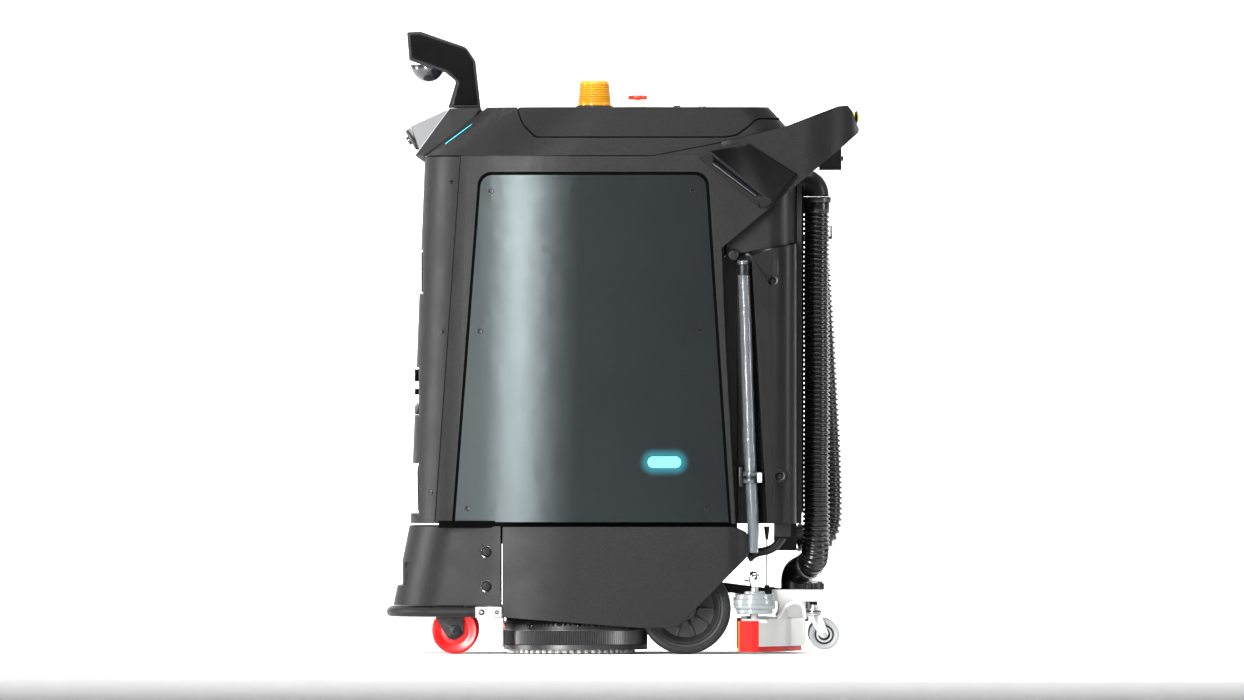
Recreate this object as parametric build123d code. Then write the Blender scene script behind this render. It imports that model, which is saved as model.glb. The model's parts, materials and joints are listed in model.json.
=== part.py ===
"""Robotic floor cleaner: body shells, tanks, brush deck, squeegee, wheels and sensors.

Millimetres. +Z is up, -X is the front (driving direction), the origin is on the floor
under the middle of the machine. Each function returns the solids of one node.
"""
import os
from math import tan, radians

from build123d import *

# ---- driving dimensions -------------------------------------------------------------
HALF_WIDTH = 320.0        # body, middle plane to side
WALL = 5.0                # moulded shells
GAP = 6.0                 # dark joint round the side panels
SEAM_Z = 275.0            # lower edge of the upper body shells
SKIRT_TOP_Z = 269.0
SHOULDER_Z = 1048.0       # seam between side shells and top shell
TOP_Z = 1150.0            # flat top of the lid
SIDE_BEND = (-200.0, 700.0)   # x where the flat sides run inwards, and that bend's radius
NOSE_CORNER = (250.0, 130.0)  # half width where the nose corner's tangents meet, and its radius

DRIVE_X, DRIVE_R, DRIVE_Y, DRIVE_WIDTH = 130.0, 96.0, 251.0, 44.0
CASTER_X, CASTER_R, CASTER_Y, CASTER_WIDTH = -354.0, 49.3, 190.0, 32.0
CASTER_PIVOT_X = -367.0
BRUSH_X, BRUSH_Y, BRUSH_R = -109.7, 140.0, 133.0
ARM_PIVOT = (75.0, 150.0)             # x, z of the squeegee arm's hinge
SWING_X = 310.0                       # vertical pivot of the squeegee
SQUEEGEE_RADIUS = 637.0               # plan curve of the squeegee
SQUEEGEE_REAR_X = 374.0
SQUEEGEE_HALF = 366.0
ROLLER_X, ROLLER_Y = 275.3, 335.0
SMALL_WHEEL_R, SMALL_WHEEL_WIDTH = 32.0, 24.0
STEM_X, SMALL_AXLE_X, SMALL_Y = 400.0, 422.0, 235.0
LID_HINGE = (-218.5, 1147.0)          # x, z of the lid's hinge axis
LID_KNUCKLE_R, LID_PIN_R = 3.0, 1.5
SKIRT_HINGE = (310.5, 262.0)          # distance from the middle plane, z of the side skirt's hinge
SKIRT_HINGE_X = (-30.0, 150.0)
SKIRT_KNUCKLE_R, SKIRT_PIN_R = 4.0, 2.0
SUCTION_D, DRAIN_D, LEVEL_D, CABLE_D = 58.0, 50.0, 25.0, 3.4

# routes of the two free hoses, hand-placed points
SUCTION_ROUTE = [
    (388.3, -48.6, 184.2), (399.5, -69, 191), (404, -91, 208), (405.5, -106, 237), (406, -113, 285),
    (405, -116, 375), (406.5, -114, 545), (405, -116, 790), (406.5, -114, 895), (406, -115, 962),
]
DRAIN_ROUTE = [
    (379, 72, 246), (402, 75, 232), (424, 79, 240), (437, 84, 268), (439, 89, 322),
    (436, 93, 425), (427, 95, 590), (417, 95, 760), (411, 96, 850), (409, 95, 905),
]

LEFT, RIGHT = -1, 1       # the machine's left is -Y
INNER, OUTER = 0.3, 0.05  # clearance between faces, running fit


# ---- helpers ------------------------------------------------------------------------
def upright(points, y_low, y_high, radii=None):
    """Prism along Y of an outline given as (x, z) points, with optional corner radii."""
    corners = [(x, y_low, z) for x, z in points]
    if radii:
        outline = FilletPolyline(*corners, radius=radii, close=True)
    else:
        outline = Polyline(*corners, close=True)
    return extrude(make_face(outline), amount=y_high - y_low, dir=(0, 1, 0))


def slab(points, z_low, z_high, radii=None):
    """Prism along Z of an outline given as (x, y) points."""
    corners = [(x, y, z_low) for x, y in points]
    if radii:
        outline = FilletPolyline(*corners, radius=radii, close=True)
    else:
        outline = Polyline(*corners, close=True)
    return extrude(make_face(outline), amount=z_high - z_low, dir=(0, 0, 1))


def block(x0, x1, y0, y1, z0, z1):
    """Plain box between two corners."""
    size = (x1 - x0, y1 - y0, z1 - z0)
    return Pos((x0 + x1) / 2, (y0 + y1) / 2, (z0 + z1) / 2) * Box(*size)


def rod(start, direction, radius, length):
    """Cylinder that starts at a point and runs along a direction."""
    base = Plane(origin=start, z_dir=direction)
    return base * Cylinder(radius, length, align=(Align.CENTER, Align.CENTER, Align.MIN))


def cross_rod(x, z, radius, y0, y1):
    """Cylinder along Y."""
    return rod((x, y0, z), (0, 1, 0), radius, y1 - y0)


def post(x, y, radius, z0, z1):
    """Cylinder along Z."""
    return rod((x, y, z0), (0, 0, 1), radius, z1 - z0)


def other_side(shape):
    """The same piece on the machine's right-hand side."""
    return mirror(shape, about=Plane.XZ)


def on_side(shape, side):
    """A left-hand piece, or its mirror image for the right-hand side."""
    return shape if side == LEFT else other_side(shape)


def soften(shape, edges, radius):
    """Fillet the edges if the kernel can, else leave them sharp."""
    try:
        rounded = fillet(edges, radius)
        if rounded.is_valid and abs(rounded.volume / shape.volume - 1) < 0.2:
            return rounded
    except (ValueError, RuntimeError):
        pass
    print("left sharp at radius", radius)
    return shape


def plan_outline(z, front, rear, half_width, back, bend, nose, inset):
    """Plan view of the body: flat sides, run-in front quarters and a rounded nose."""
    side = half_width - inset
    nose_side = nose[0] - inset * 0.8
    points = [
        (front + inset, -nose_side, z), (bend[0], -side, z), (rear - inset, -side, z),
        (rear - inset, side, z), (bend[0], side, z), (front + inset, nose_side, z),
    ]
    corner = nose[1] - inset
    back = max(back - inset, 0)
    radii = [corner, bend[1], back, back, bend[1], corner]
    return make_face(FilletPolyline(*points, radius=radii, close=True))


def hull(low, high, inset=0.0):
    """Ruled body between two plan outlines."""
    return loft([plan_outline(*low, inset), plan_outline(*high, inset)], ruled=True)


def body_hull(inset=0.0):
    low = (SEAM_Z, -449, 620, HALF_WIDTH, 0, SIDE_BEND, NOSE_CORNER)
    high = (SHOULDER_Z + 2, -418, 620, HALF_WIDTH, 0, SIDE_BEND, NOSE_CORNER)
    return hull(low, high, inset)


def top_hull(inset=0.0):
    low = (SHOULDER_Z, -417, 398, HALF_WIDTH, 100, SIDE_BEND, NOSE_CORNER)
    high = (TOP_Z, -288, 305, HALF_WIDTH - 14, 60, (-120.0, 400.0), (205.0, 100.0))
    return hull(low, high, inset)


def skirt_hull(inset=0.0):
    low = (56, -494, 267, HALF_WIDTH, 50, SIDE_BEND, NOSE_CORNER)
    high = (SKIRT_TOP_Z, -451, 267, HALF_WIDTH, 50, SIDE_BEND, NOSE_CORNER)
    return hull(low, high, inset)


def tube(route, diameter, name, shares=0.45):
    """Round tube along straight runs joined by tangent arcs."""
    points = [Vector(*p) for p in route]
    bends = []
    for before, here, after in zip(points, points[1:], points[2:]):
        turn = (here - before).get_angle(after - here)
        shorter = min((here - before).length, (after - here).length)
        bends.append(shares * shorter / tan(radians(turn) / 2))
    path = FilletPolyline(*points, radius=bends)
    start = Plane(origin=points[0], z_dir=points[1] - points[0])
    solid = sweep(start * Circle(diameter / 2), path=path)
    ideal = path.length * 3.141593 * diameter ** 2 / 4
    print(name, "radii", [round(b) for b in bends])
    print(name, "length", round(path.length), "volume ratio", round(solid.volume / ideal, 4))
    return solid


# ---- outlines shared by neighbours --------------------------------------------------
PANEL = [(-354, 278), (-298.6, 1007), (172, 1007), (220.5, 278)]
PANEL_GAP = [(-360.5, 272), (-304, 1013.5), (178, 1013.5), (227, 272)]
PANEL_RADII, GAP_RADII = [0, 25, 25, 0], [0, 29, 29, 0]
PANEL_SCREWS = [(-278, 973), (144, 973), (-301, 679), (161.5, 679), (-327, 307), (174.5, 307)]
NOSE_SCREWS = [(-361, 992.5), (-381, 678), (-404, 340)]
LID_OUTLINE = [
    (-224, 1160), (-222, 1140), (-214, 1113), (-186, 1085), (214, 1085), (238, 1089),
    (262, 1106), (282, 1123.5), (420, 1123.5), (420, 1160),
]
LID_RADII = [0, 0, 40, 20, 20, 20, 10, 20, 0, 0]
WING = [
    (206, 853.7), (209.8, 856.8), (461, 1067), (494.6, 1096.6), (495.8, 1104.6), (487.8, 1120.8),
    (482.6, 1139.3), (471.5, 1153.3), (450.5, 1151.6), (339, 1108.6), (230, 1081.5), (206, 1076.5),
]


# ---- body shells --------------------------------------------------------------------
def wing_ring():
    """U-shaped handle band in plan: two side arms and a crossbar behind the machine."""
    outer = [(200, -HALF_WIDTH), (497, -HALF_WIDTH), (497, HALF_WIDTH), (200, HALF_WIDTH)]
    inner = [(190, -286), (463, -286), (463, 286), (190, 286)]
    band = slab(outer, 850, 1160, [0, 115, 115, 0])
    band -= slab(inner, 840, 1170, [0, 84, 84, 0])
    return band & upright(WING, -400, 400)


def side_shell(side):
    """Upper side casing with the panel window and one arm of the handle."""
    skin = body_hull() - body_hull(WALL)
    outline = [
        (-396.5, SEAM_Z), (-342.5, 1046), (-340, SHOULDER_Z), (62, SHOULDER_Z), (206, 1075),
        (206, 853), (214, 660), (235, SEAM_Z),
    ]
    skin &= upright(outline, -HALF_WIDTH - 10, 0)
    skin -= upright(PANEL_GAP, -HALF_WIDTH - 10, 0, GAP_RADII)
    arm = wing_ring() & block(200, 600, -HALF_WIDTH - 5, -205, 800, 1200)
    joined = skin + arm
    return on_side(joined, side)


def push_handle():
    """Crossbar between the two arms, with a pocket for the yellow release button."""
    bar = wing_ring() & block(200, 600, -204.7, 204.7, 800, 1200)
    bar = soften(bar, bar.edges().filter_by(Axis.Y), 5)
    return bar - rod((474, 0, 1131), (1, 0, 0), 12, 30)


def nose_cover():
    """Front column casing with the camera window, the sensor bay and the low recess."""
    skin = body_hull() - body_hull(WALL)
    outline = [(-460, SEAM_Z), (-460, 1046), (-343, 1046), (-397, SEAM_Z)]
    skin &= upright(outline, -300, 300)
    skin += block(-445, -425.5, -220, 220, 498, 608) & body_hull()
    skin += block(-440, -418, -220, 220, 752, 856) & body_hull()
    skin += block(-449, -424, -235, 235, 288, 406) & body_hull()
    skin -= block(-460, -430.5, -240, 240, 503, 603)
    skin -= block(-460, -422.5, -240, 240, 758, 850)
    skin -= block(-460, -431, -240, 240, 295, 401)
    for x, z in NOSE_SCREWS:
        skin -= cross_rod(x, z, 4.3, -330, 330)
    return skin


def front_skirt():
    """Lower front casing with the scanner slot and two recessed bolts on each side."""
    skin = skirt_hull() - skirt_hull(WALL)
    outline = [(-520, 103), (-520, SKIRT_TOP_Z), (-258, SKIRT_TOP_Z), (-258, 103)]
    skin &= upright(outline, -400, 400)
    skin -= block(-600, -400, -215, 215, 144, 193)
    shelves = block(-520, -405, -222, 222, 193, 197) + block(-520, -405, -222, 222, 140, 144)
    skin += shelves & skirt_hull()
    for z in (143.4, 215.5):
        for side in (LEFT, RIGHT):
            skin -= rod((-287.7, side * 330, z), (0, -side, 0), 11, 40)
    return skin


def front_skirt_bolts():
    """Dished washers and bolt heads behind the skirt's four round holes."""
    pieces = []
    for z in (143.4, 215.5):
        for side in (LEFT, RIGHT):
            pieces.append(rod((-287.7, side * 300, z), (0, -side, 0), 9, 10))
    return pieces


def side_skirt(side):
    """Hinged lower side casing over the brushes and the drive wheel."""
    skin = skirt_hull() - skirt_hull(WALL)
    outline = [
        (-254, 78), (-254, 268), (231, 268), (261, 253), (267.2, 212), (115, 60), (95.6, 55.5),
        (36, 56), (-91, 65.7), (-241, 77),
    ]
    skin &= upright(outline, -400, -290)
    y, z = -SKIRT_HINGE[0], SKIRT_HINGE[1]
    for x in SKIRT_HINGE_X:
        skin += rod((x - 10, y, z), (1, 0, 0), SKIRT_KNUCKLE_R, 20)
        skin += block(x - 10, x + 10, -316, y, z - 3, z + 3)
        skin -= rod((x - 12, y, z), (1, 0, 0), SKIRT_PIN_R + OUTER, 24)
    return on_side(skin, side)


def top_shell():
    """Shoulder casing round the lid, with the deck over the tanks."""
    inner = top_hull(WALL)
    skin = top_hull() - (inner & block(-500, 500, -400, 400, 1000, TOP_Z - WALL))
    keep = [
        (-430, SHOULDER_Z + 0.3), (62, SHOULDER_Z + 0.3), (72, SHOULDER_Z + 2.3),
        (205.7, SHOULDER_Z + 2.3), (205.7, 1077), (230, 1082), (339, 1109.1), (345, 1111.5),
        (345, 1160), (-430, 1160),
    ]
    skin &= upright(keep, -400, 400)
    skin -= upright(LID_OUTLINE, -400, 400, LID_RADII)
    deck = top_hull(WALL) & block(-214, 200, -330, 330, 1066, 1071)
    deck -= block(-152, 152, -202, 202, 1060, 1080)
    ledge = upright([(268, 1106), (290, 1119), (300, 1119), (300, 1104), (268, 1100)], -280, 280)
    front, middle = block(-500, -190, -400, 400, 1000, 1200), block(-190, 262, -400, 400, 1000, 1200)
    rear = block(262, 500, -400, 400, 1000, 1200)
    return [skin & front, skin & middle, (skin & rear) + (ledge & rear), deck & middle]


def lid():
    """Hinged top cover, a thin shell with knuckles at its front edge."""
    inside = [(-221, 1151), (-219, 1139), (-211, 1115), (-184, 1088), (213, 1088), (236, 1092),
              (260, 1109), (280, 1126.5), (420, 1126.5), (420, 1151)]
    body = top_hull() & upright(inside, -400, 400, LID_RADII)
    hollow = top_hull(WALL) & upright(inside, -400, 400, LID_RADII)
    hollow -= block(-400, 500, -400, 400, TOP_Z - WALL, 1200)
    hollow -= block(-400, -208, -400, 400, 1000, 1200)
    body = soften(body, body.edges().group_by(Axis.Z)[-1], 4)
    shell = body - hollow
    for y in (-175, 175):
        shell -= block(-235, -206, y - 36, y + 36, 1100, 1160)
        shell += cross_rod(*LID_HINGE, LID_KNUCKLE_R, y - 24, y + 24)
        shell += block(-218.5, -200, y - 24, y + 24, 1144.2, 1149.8)
        shell -= cross_rod(*LID_HINGE, LID_PIN_R + OUTER, y - 30, y + 30)
    return shell


def lid_hinge_pins():
    """Pins and ears that carry the lid's knuckles."""
    pieces = []
    for y in (-175, 175):
        pin = cross_rod(*LID_HINGE, LID_PIN_R, y - 34, y + 34)
        for edge in (y - 34, y + 26):
            pin += block(-221, -213, edge, edge + 8, 1106, 1147)
            pin += cross_rod(*LID_HINGE, 2.5, edge, edge + 8)
        pieces.append(pin)
    return pieces


# ---- panels and pods ----------------------------------------------------------------
def side_panel(side):
    """Flush metal service panel, curved with the body at its front."""
    sheet = (body_hull(1) - body_hull(4)) & upright(PANEL, -HALF_WIDTH - 10, 0, PANEL_RADII)
    sheet -= upright([(50, 391), (50, 417), (122, 417), (122, 391)], -330, 0, [12.9] * 4)
    for x, z in PANEL_SCREWS:
        sheet -= cross_rod(x, z, 5.3, -330, -200)
    return on_side(sheet, side)


def screws():
    """Panel screws and nose screws, both sides, set flush with the curved casings."""
    heads = body_hull(-0.4) - body_hull(3.4)
    pieces = []
    for x, z in PANEL_SCREWS:
        pieces += (heads & cross_rod(x, z, 5, -330, -200)).solids()
    for x, z in NOSE_SCREWS:
        pieces += (heads & cross_rod(x, z, 4, -330, -150)).solids()
    return pieces + [other_side(piece) for piece in pieces]


def led_lenses():
    """Pill lamps in the side panels and light strips on the front quarters."""
    pieces = []
    pill = upright([(51, 392), (51, 416), (121, 416), (121, 392)], -319.5, -315, [11.9] * 4)
    strip = [(-374, 1074.2), (-376, 1071.8), (-320, 1113.3), (-318, 1115.7)]
    glow = (top_hull(-1.2) - top_hull(-0.2)) & upright(strip, -400, 0)
    for side in (LEFT, RIGHT):
        pieces += [on_side(pill, side), on_side(glow, side)]
    return pieces


def side_pods():
    """Side camera pods: a wide sloped face, a narrow face with the window, and a ridge."""
    outline = [
        (157, 1044), (181, 1056.5), (260, 1072.5), (270, 1067), (365, 1008), (362, 1000),
        (300, 938.5), (287, 937),
    ]
    pod = upright(outline, -350, -320.2, [3, 4, 5, 4, 5, 5, 6, 5])
    ridge = Plane(origin=(240, -344, 1009), x_dir=(0.779, 0, -0.627), z_dir=(0.16, -0.96, 0.20))
    window = Plane(origin=(240, -344, 1009), x_dir=(0.779, 0, -0.627), z_dir=(-0.36, -0.82, -0.45))
    pod = split(pod, bisect_by=ridge, keep=Keep.BOTTOM)
    pod = split(pod, bisect_by=window, keep=Keep.BOTTOM)
    pod -= upright([(190, 1037), (284, 966), (278, 959), (184, 1030)], -360, -326, [4.4] * 4)
    return [pod, other_side(pod)]


def sensor_optics():
    """Dome camera, pod windows, nose camera window, bay sensors and the low scanner."""
    dome = Pos(-412.7, 0, 1240) * Sphere(35)
    dome &= block(-460, -360, -50, 50, 1190, 1240)
    pieces = [dome]
    glass = upright([(190.5, 1036), (283, 966), (278, 960), (185.5, 1030)], -329, -326.1, [3.6] * 4)
    pieces += [glass, other_side(glass)]
    pieces.append(block(-426, -422.6, -108, 108, 762, 846))
    for z0, z1 in ((573, 599.6), (545, 558.6), (503.6, 530)):
        pieces.append(block(-440, -430.6, -90, 90, z0 + 0.5, z1 - 0.5))
    pieces.append(upright([(-431.1, 300), (-431.1, 396), (-433, 396), (-436, 382), (-433, 300)], -125, 125))
    pieces.append(post(-436, 0, 30, 144.2, 192.8))
    return pieces


def head_housing():
    """Front control head: slanted face with a bright bevel, closed behind."""
    outline = [
        (-439, 1049), (-366, 1148), (-300, 1150), (-296, 1138), (-300, 1125), (-402, 1050), (-418, 1034),
    ]
    head = upright(outline, -150, 150, [2, 3, 0, 0, 0, 0, 2])
    return head - top_hull(-0.2) - body_hull(-0.2)


def head_camera():
    """Depth camera pod that stands out of the slanted face."""
    outline = [(-459.5, 1101), (-447, 1112), (-374, 1145), (-366, 1140), (-420, 1062), (-437, 1062)]
    pod = upright(outline, -62, 62, [2, 3, 0, 0, 0, 0])
    slope = [(-439.3, 1049), (-366.3, 1148), (-300, 1150), (-300, 1000)]
    pod -= upright(slope, -100, 100)
    for y in (-32, 0, 32):
        pod += rod((-449, y, 1083), (-0.84, 0, -0.54), 9, 7)
    return pod


def sensor_arm():
    """Forward-leaning mast that carries the dome camera."""
    outline = [
        (-457, 1310), (-428, 1311.5), (-331, 1278), (-312, 1249), (-301, 1150.2), (-370, 1150.2),
        (-353, 1206), (-376, 1225), (-452, 1250.6),
    ]
    arm = upright(outline, -42, 42, [3, 6, 24, 14, 0, 0, 10, 3, 3])
    arm = soften(arm, arm.faces().sort_by(Axis.Y)[0].edges() + arm.faces().sort_by(Axis.Y)[-1].edges(), 2)
    return arm - post(-412.7, 0, 36.5, 1215, 1240.2)


# ---- inside -------------------------------------------------------------------------
def skirt_hinge_arms():
    """Arms from the base plate that carry the side skirts' hinge pins."""
    pieces = []
    y, z = -SKIRT_HINGE[0], SKIRT_HINGE[1]
    for x in SKIRT_HINGE_X:
        pin = rod((x - 20, y, z), (1, 0, 0), SKIRT_PIN_R, 40)
        for edge in (x - 20, x + 12):
            pin += block(edge, edge + 8, y - 3.8, -250, 232, 240)
            pin += block(edge, edge + 8, y - 3.8, y + 6, 232, z)
            pin += rod((edge, y, z), (1, 0, 0), 3.8, 8)
        pieces += [pin, other_side(pin)]
    return pieces


def chassis_frame():
    """Base plate, posts, recess walls, hinge brackets, kingpins and the brush deck guides."""
    plate = block(-425, 232, -250, 250, 232, 240) & skirt_hull(WALL + 2)
    pieces = [plate - block(150, 240, -90, 90, 220, 250)]
    for side in (LEFT, RIGHT):
        low, high = sorted((side * 189.2, side * 215))
        pieces.append(block(-384, -360, low, high, 240, 1040))
        low, high = sorted((side * 246.4, side * 280))
        pieces.append(block(188, 212, low, high, 240, 1040))
        low, high = sorted((side * 240, side * 246.4))
        pieces.append(block(187, 239.6, low, high, 240, 836))
        y = side * CASTER_Y
        bracket = block(CASTER_PIVOT_X - 34, CASTER_PIVOT_X + 34, y - 34, y + 34, 125, 232)
        pieces.append(bracket + post(CASTER_PIVOT_X, y, 6, 106, 125))
        pieces.append(post(-20, side * 40, 8, 88, 232))
    hanger = cross_rod(*ARM_PIVOT, 8, -56, 56)
    for y in (-56, 44):
        hanger += block(55, 95, y, y + 12, 128, 232)
    return pieces + [hanger] + skirt_hinge_arms()


def battery_pack():
    case = block(-352, -125, -205, 205, 241, 500)
    return soften(case, case.edges().filter_by(Axis.Z), 12)


def control_unit():
    case = block(-375, -215, -180, 180, 560, 900)
    return soften(case, case.edges().filter_by(Axis.Y), 6)


def solution_tank():
    """Clean water tank, stepped over the battery, with an open filler at the top."""
    outside = block(-195, 186, -285, 285, 520, 1062) + block(-105, 186, -285, 285, 246, 530)
    hollow = block(-190, 181, -280, 280, 525, 1057) + block(-100, 181, -280, 280, 251, 530)
    return outside - hollow - block(-150, 150, -200, 200, 1050, 1070)


def recovery_tank():
    """Dirty water tank that closes the rear: a narrow core and a wide rear part."""
    def form(wall):
        core = block(240 + wall, 330, -266 + wall, 266 - wall, SEAM_Z + wall, 844)
        plan = [(262, -297 + wall), (364 - wall, -297 + wall), (364 - wall, 297 - wall), (262, 297 - wall)]
        wide = slab(plan, SEAM_Z + wall, 870, [0, 45 - wall, 45 - wall, 0])
        slope = [(302.6 + wall, SEAM_Z), (269 + wall, 837), (269 + wall, 880), (380, 880), (380, SEAM_Z)]
        return core + (wide & upright(slope, -300, 300))
    lid_line = [(200, 834), (364.5, 862.5), (400, 862.5), (400, 200), (200, 200)]
    tank = (form(0) - form(WALL)) & upright(lid_line, -300, 300)
    for x, z in ((314, 785.7), (329, 375.5)):
        for side in (LEFT, RIGHT):
            tank += rod((x, side * 293, z), (0, -side, 0), 17, 14)
            tank -= rod((x, side * 298, z), (0, -side, 0), 12.3, 14)
    return tank - post(338, 72, 20, 270, 285)


def vacuum_motor():
    """Suction fan and its housing above the recovery tank."""
    plan = [(216, -283), (364, -283), (364, 283), (216, 283)]
    outside = slab(plan, 830, 1040, [0, 60, 60, 0])
    hollow = slab([(222, -277), (358, -277), (358, 277), (222, 277)], 820, 1034, [0, 54, 54, 0])
    profile = [(216, 838), (366, 863.6), (366.5, 1040), (216, 1040)]
    case = (outside - hollow) & upright(profile, -300, 300)
    fan = post(290, 0, 62, 905, 1000) + post(290, 0, 40, 1000, 1034.5)
    return case + fan


def rear_rails():
    """Dark upright rails with screw plates behind the tank."""
    pieces = []
    for side in (LEFT, RIGHT):
        low, high = sorted((side * 200, side * 236))
        pieces.append(block(364.3, 375, low, high, SEAM_Z, 1010))
    return pieces


def drive_motors():
    """Gear motors hung from the base plate, with the wheel shafts."""
    pieces = []
    for side in (LEFT, RIGHT):
        low, high = sorted((side * 110, side * 222))
        motor = cross_rod(DRIVE_X, DRIVE_R, 42, low, high)
        motor += block(DRIVE_X - 34, DRIVE_X + 34, low, high, DRIVE_R, 232)
        low, high = sorted((side * 222, side * 274))
        motor += cross_rod(DRIVE_X, DRIVE_R, 10, low, high)
        pieces.append(motor)
    return pieces


def bumper_clamps():
    """Sleeves that hold the bumper's ends, their bolt blocks and hanging guard plates."""
    pieces = []
    for side in (LEFT, RIGHT):
        y = -297
        sleeve = block(-310.8, -286.7, y - 11.5, y + 11.5, 77.4, 100.1)
        sleeve -= rod((-312, y, 88.8), (1, 0, 0), 10.3, 24)
        holder = block(-286.7, -256, y - 11, y + 11, 78, 100) + block(-286.7, -258.5, y + 5, y + 11, 100, 128)
        plate = block(-274, -252.8, y - 10, y + 16, 20, 77.2)
        foot = block(-268, -253.5, y - 10, y + 16, 9.9, 20)
        pieces += [on_side(sleeve + holder, side), on_side(plate + foot, side)]
    return pieces


def rear_control_box():
    box = block(413, 460, -70, 70, 1019, 1068)
    box = soften(box, box.edges().filter_by(Axis.Z), 3)
    return box + block(459, 464.5, -14, 14, 1038.5, 1049) + block(364.3, 413, -60, 60, 1026, 1034)


def plumbing():
    """Hose elbows and holders, level tube fittings, feed hose and the drain outlet."""
    y = -284
    hub = cross_rod(230, 839.6, 11, y - 6, y + 22) + block(230, 240, y - 6, y + 6, 834, 845)
    elbow_path = FilletPolyline((238, y, 848), (251.4, y, 848), (251.4, y, 828), radius=9)
    elbow = sweep(Plane(origin=(238, y, 848), z_dir=(1, 0, 0)) * Circle(13), path=elbow_path)
    clip = post(268, y, 18, 360, 383) - post(268, y, 14, 350, 390)
    clip += block(244, 251, y - 9, y + 9, 354, 392)
    bend = FilletPolyline((364.3, -115, 994), (406, -115, 994), (406, -115, 962.8), radius=28)
    suction = sweep(Plane(origin=(364.3, -115, 994), z_dir=(1, 0, 0)) * Circle(27), path=bend)
    collar = post(406, -115, 31.6, 950, 962) - post(406, -115, 29.9, 940, 970)
    mouth, aim = Vector(*DRAIN_ROUTE[0]), Vector(*DRAIN_ROUTE[1]) - Vector(*DRAIN_ROUTE[0])
    aim = aim.normalized()
    valve = block(318, 366, 44, 100, 216, 274.7) + post(338, 72, 19.6, 270, 279)
    spout = rod(mouth - aim * 20, aim, 21, 19.7)
    holder = block(364.3, 441, 65, 126, 874, 880) + block(437, 441, 83, 108, 877, 902)
    holder -= post(410, 95.5, 25.5, 870, 910)
    feed_route = [
        (269, -226, 207), (283, -228, 214.5), (302, -229, 217), (320, -226, 226), (334, -222, 246),
    ]
    feed = tube(feed_route, 18, "feed hose")
    pump = block(318, 352, -238, -204, 247, 274.6)
    sleeve = rod((262, -225, 203.2), (0.88, -0.125, 0.47), 11, 8)
    return [hub + elbow, clip, suction, collar, valve + spout, holder, feed, pump, sleeve]


def level_tube():
    """Clear water-level tube down the recess between side casing and rear tank."""
    y = -284
    route = [
        (251.4, y, 827.8), (258, y, 690), (262.5, y, 520), (268, y, 373), (273, y + 2, 290),
        (272, y + 8, 236), (271, y + 11, 214),
    ]
    return tube(route, LEVEL_D, "level tube")


def suction_hose():
    return tube(SUCTION_ROUTE, SUCTION_D, "suction hose")


def drain_hose():
    return tube(DRAIN_ROUTE, DRAIN_D, "drain hose")


def drain_plug():
    start, end = Vector(*DRAIN_ROUTE[-2]), Vector(*DRAIN_ROUTE[-1])
    return rod(end, end - start, 23, 34) + rod(end + (end - start).normalized() * 33, end - start, 27, 16)


def lift_cable():
    cable = post(302.4, -60, CABLE_D / 2, 144.2, 240)
    cone = loft([Pos(302.4, -60, 240) * Circle(3), Pos(302.4, -60, 268) * Circle(9)])
    return [cable, cone]


# ---- top controls -------------------------------------------------------------------
def beacon_lens():
    """Amber lamp with stepped ribs."""
    lens = post(-61, 0, 35.5, 1155, 1163)
    for rib in range(9):
        radius = 35 - rib * 0.35
        lens += post(-61, 0, radius, 1163 + rib * 4.6, 1163 + rib * 4.6 + 3.4)
        lens += post(-61, 0, radius - 1.2, 1166 + rib * 4.6, 1163 + (rib + 1) * 4.6)
    return lens + post(-61, 0, 31, 1204, 1208)


def lid_fittings():
    """Beacon base, emergency stop collar, switch rings and blank label plates."""
    base = post(-61, 0, 43.5, 1150, 1152) + post(-61, 0, 39, 1152, 1155)
    collar = post(30, 0, 15.5, 1151, 1167) - post(30, 0, 6.3, 1150.5, 1170)
    plate = block(4, 56, -26, 26, 1150, 1151)
    rings = []
    for x in (113, 166.5):
        rings.append(post(x, 0, 11, 1150, 1152.5) - post(x, 0, 8.2, 1150.8, 1160))
        rings.append(block(x - 45, x - 14, -16, 16, 1150, 1151))
    return [base, collar + plate] + rings


def estop_head():
    """Red mushroom head; it slides down over the collar."""
    head = post(30, 0, 20.5, 1168, 1177.7)
    head = soften(head, head.edges().group_by(Axis.Z)[-1], 3)
    head -= post(30, 0, 16.2, 1167, 1173)
    return head + post(30, 0, 6, 1156.5, 1174)


def start_button():
    return post(113, 0, 7.8, 1152.9, 1156)


def key_switch():
    return post(166.5, 0, 7.8, 1151.2, 1153.4) + block(158.9, 174.1, -2, 2, 1153.4, 1155.2)


def handle_button():
    """Yellow push button in its black base on the rear of the crossbar."""
    return rod((480, 0, 1131), (1, 0, 0), 9.5, 18.5)


# ---- bumper, casters and drive wheels -----------------------------------------------
def bumper_bar():
    route = [(-304, -297, 88.8), (-330, -297, 88.8), (-488.5, -250, 88.8), (-488.5, 250, 88.8),
             (-330, 297, 88.8), (-304, 297, 88.8)]
    path = FilletPolyline(*route, radius=[40, 130, 130, 40])
    bar = sweep(Plane(origin=route[0], z_dir=(-1, 0, 0)) * Circle(10.2), path=path)
    return bar


def caster_fork(side):
    """Front caster fork with its swivel bearing and axle."""
    y = side * CASTER_Y
    leg = [(-398, 104), (-394, 75), (-369, 33), (-354.7, 29), (-336, 42), (-339, 104)]
    radii = [0, 12, 13, 15, 12, 0]
    fork = upright(leg, y - 24, y - 19.5, radii) + upright(leg, y + 19.5, y + 24, radii)
    fork += slab([(-398, y - 24), (-339, y - 24), (-339, y + 24), (-398, y + 24)], 101.5, 106)
    fork += post(CASTER_PIVOT_X, y, 24, 106, 124.6)
    fork += cross_rod(CASTER_X, CASTER_R, 6, y - 27, y + 27)
    return fork - post(CASTER_PIVOT_X, y, 6 + OUTER, 90, 130)


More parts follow.
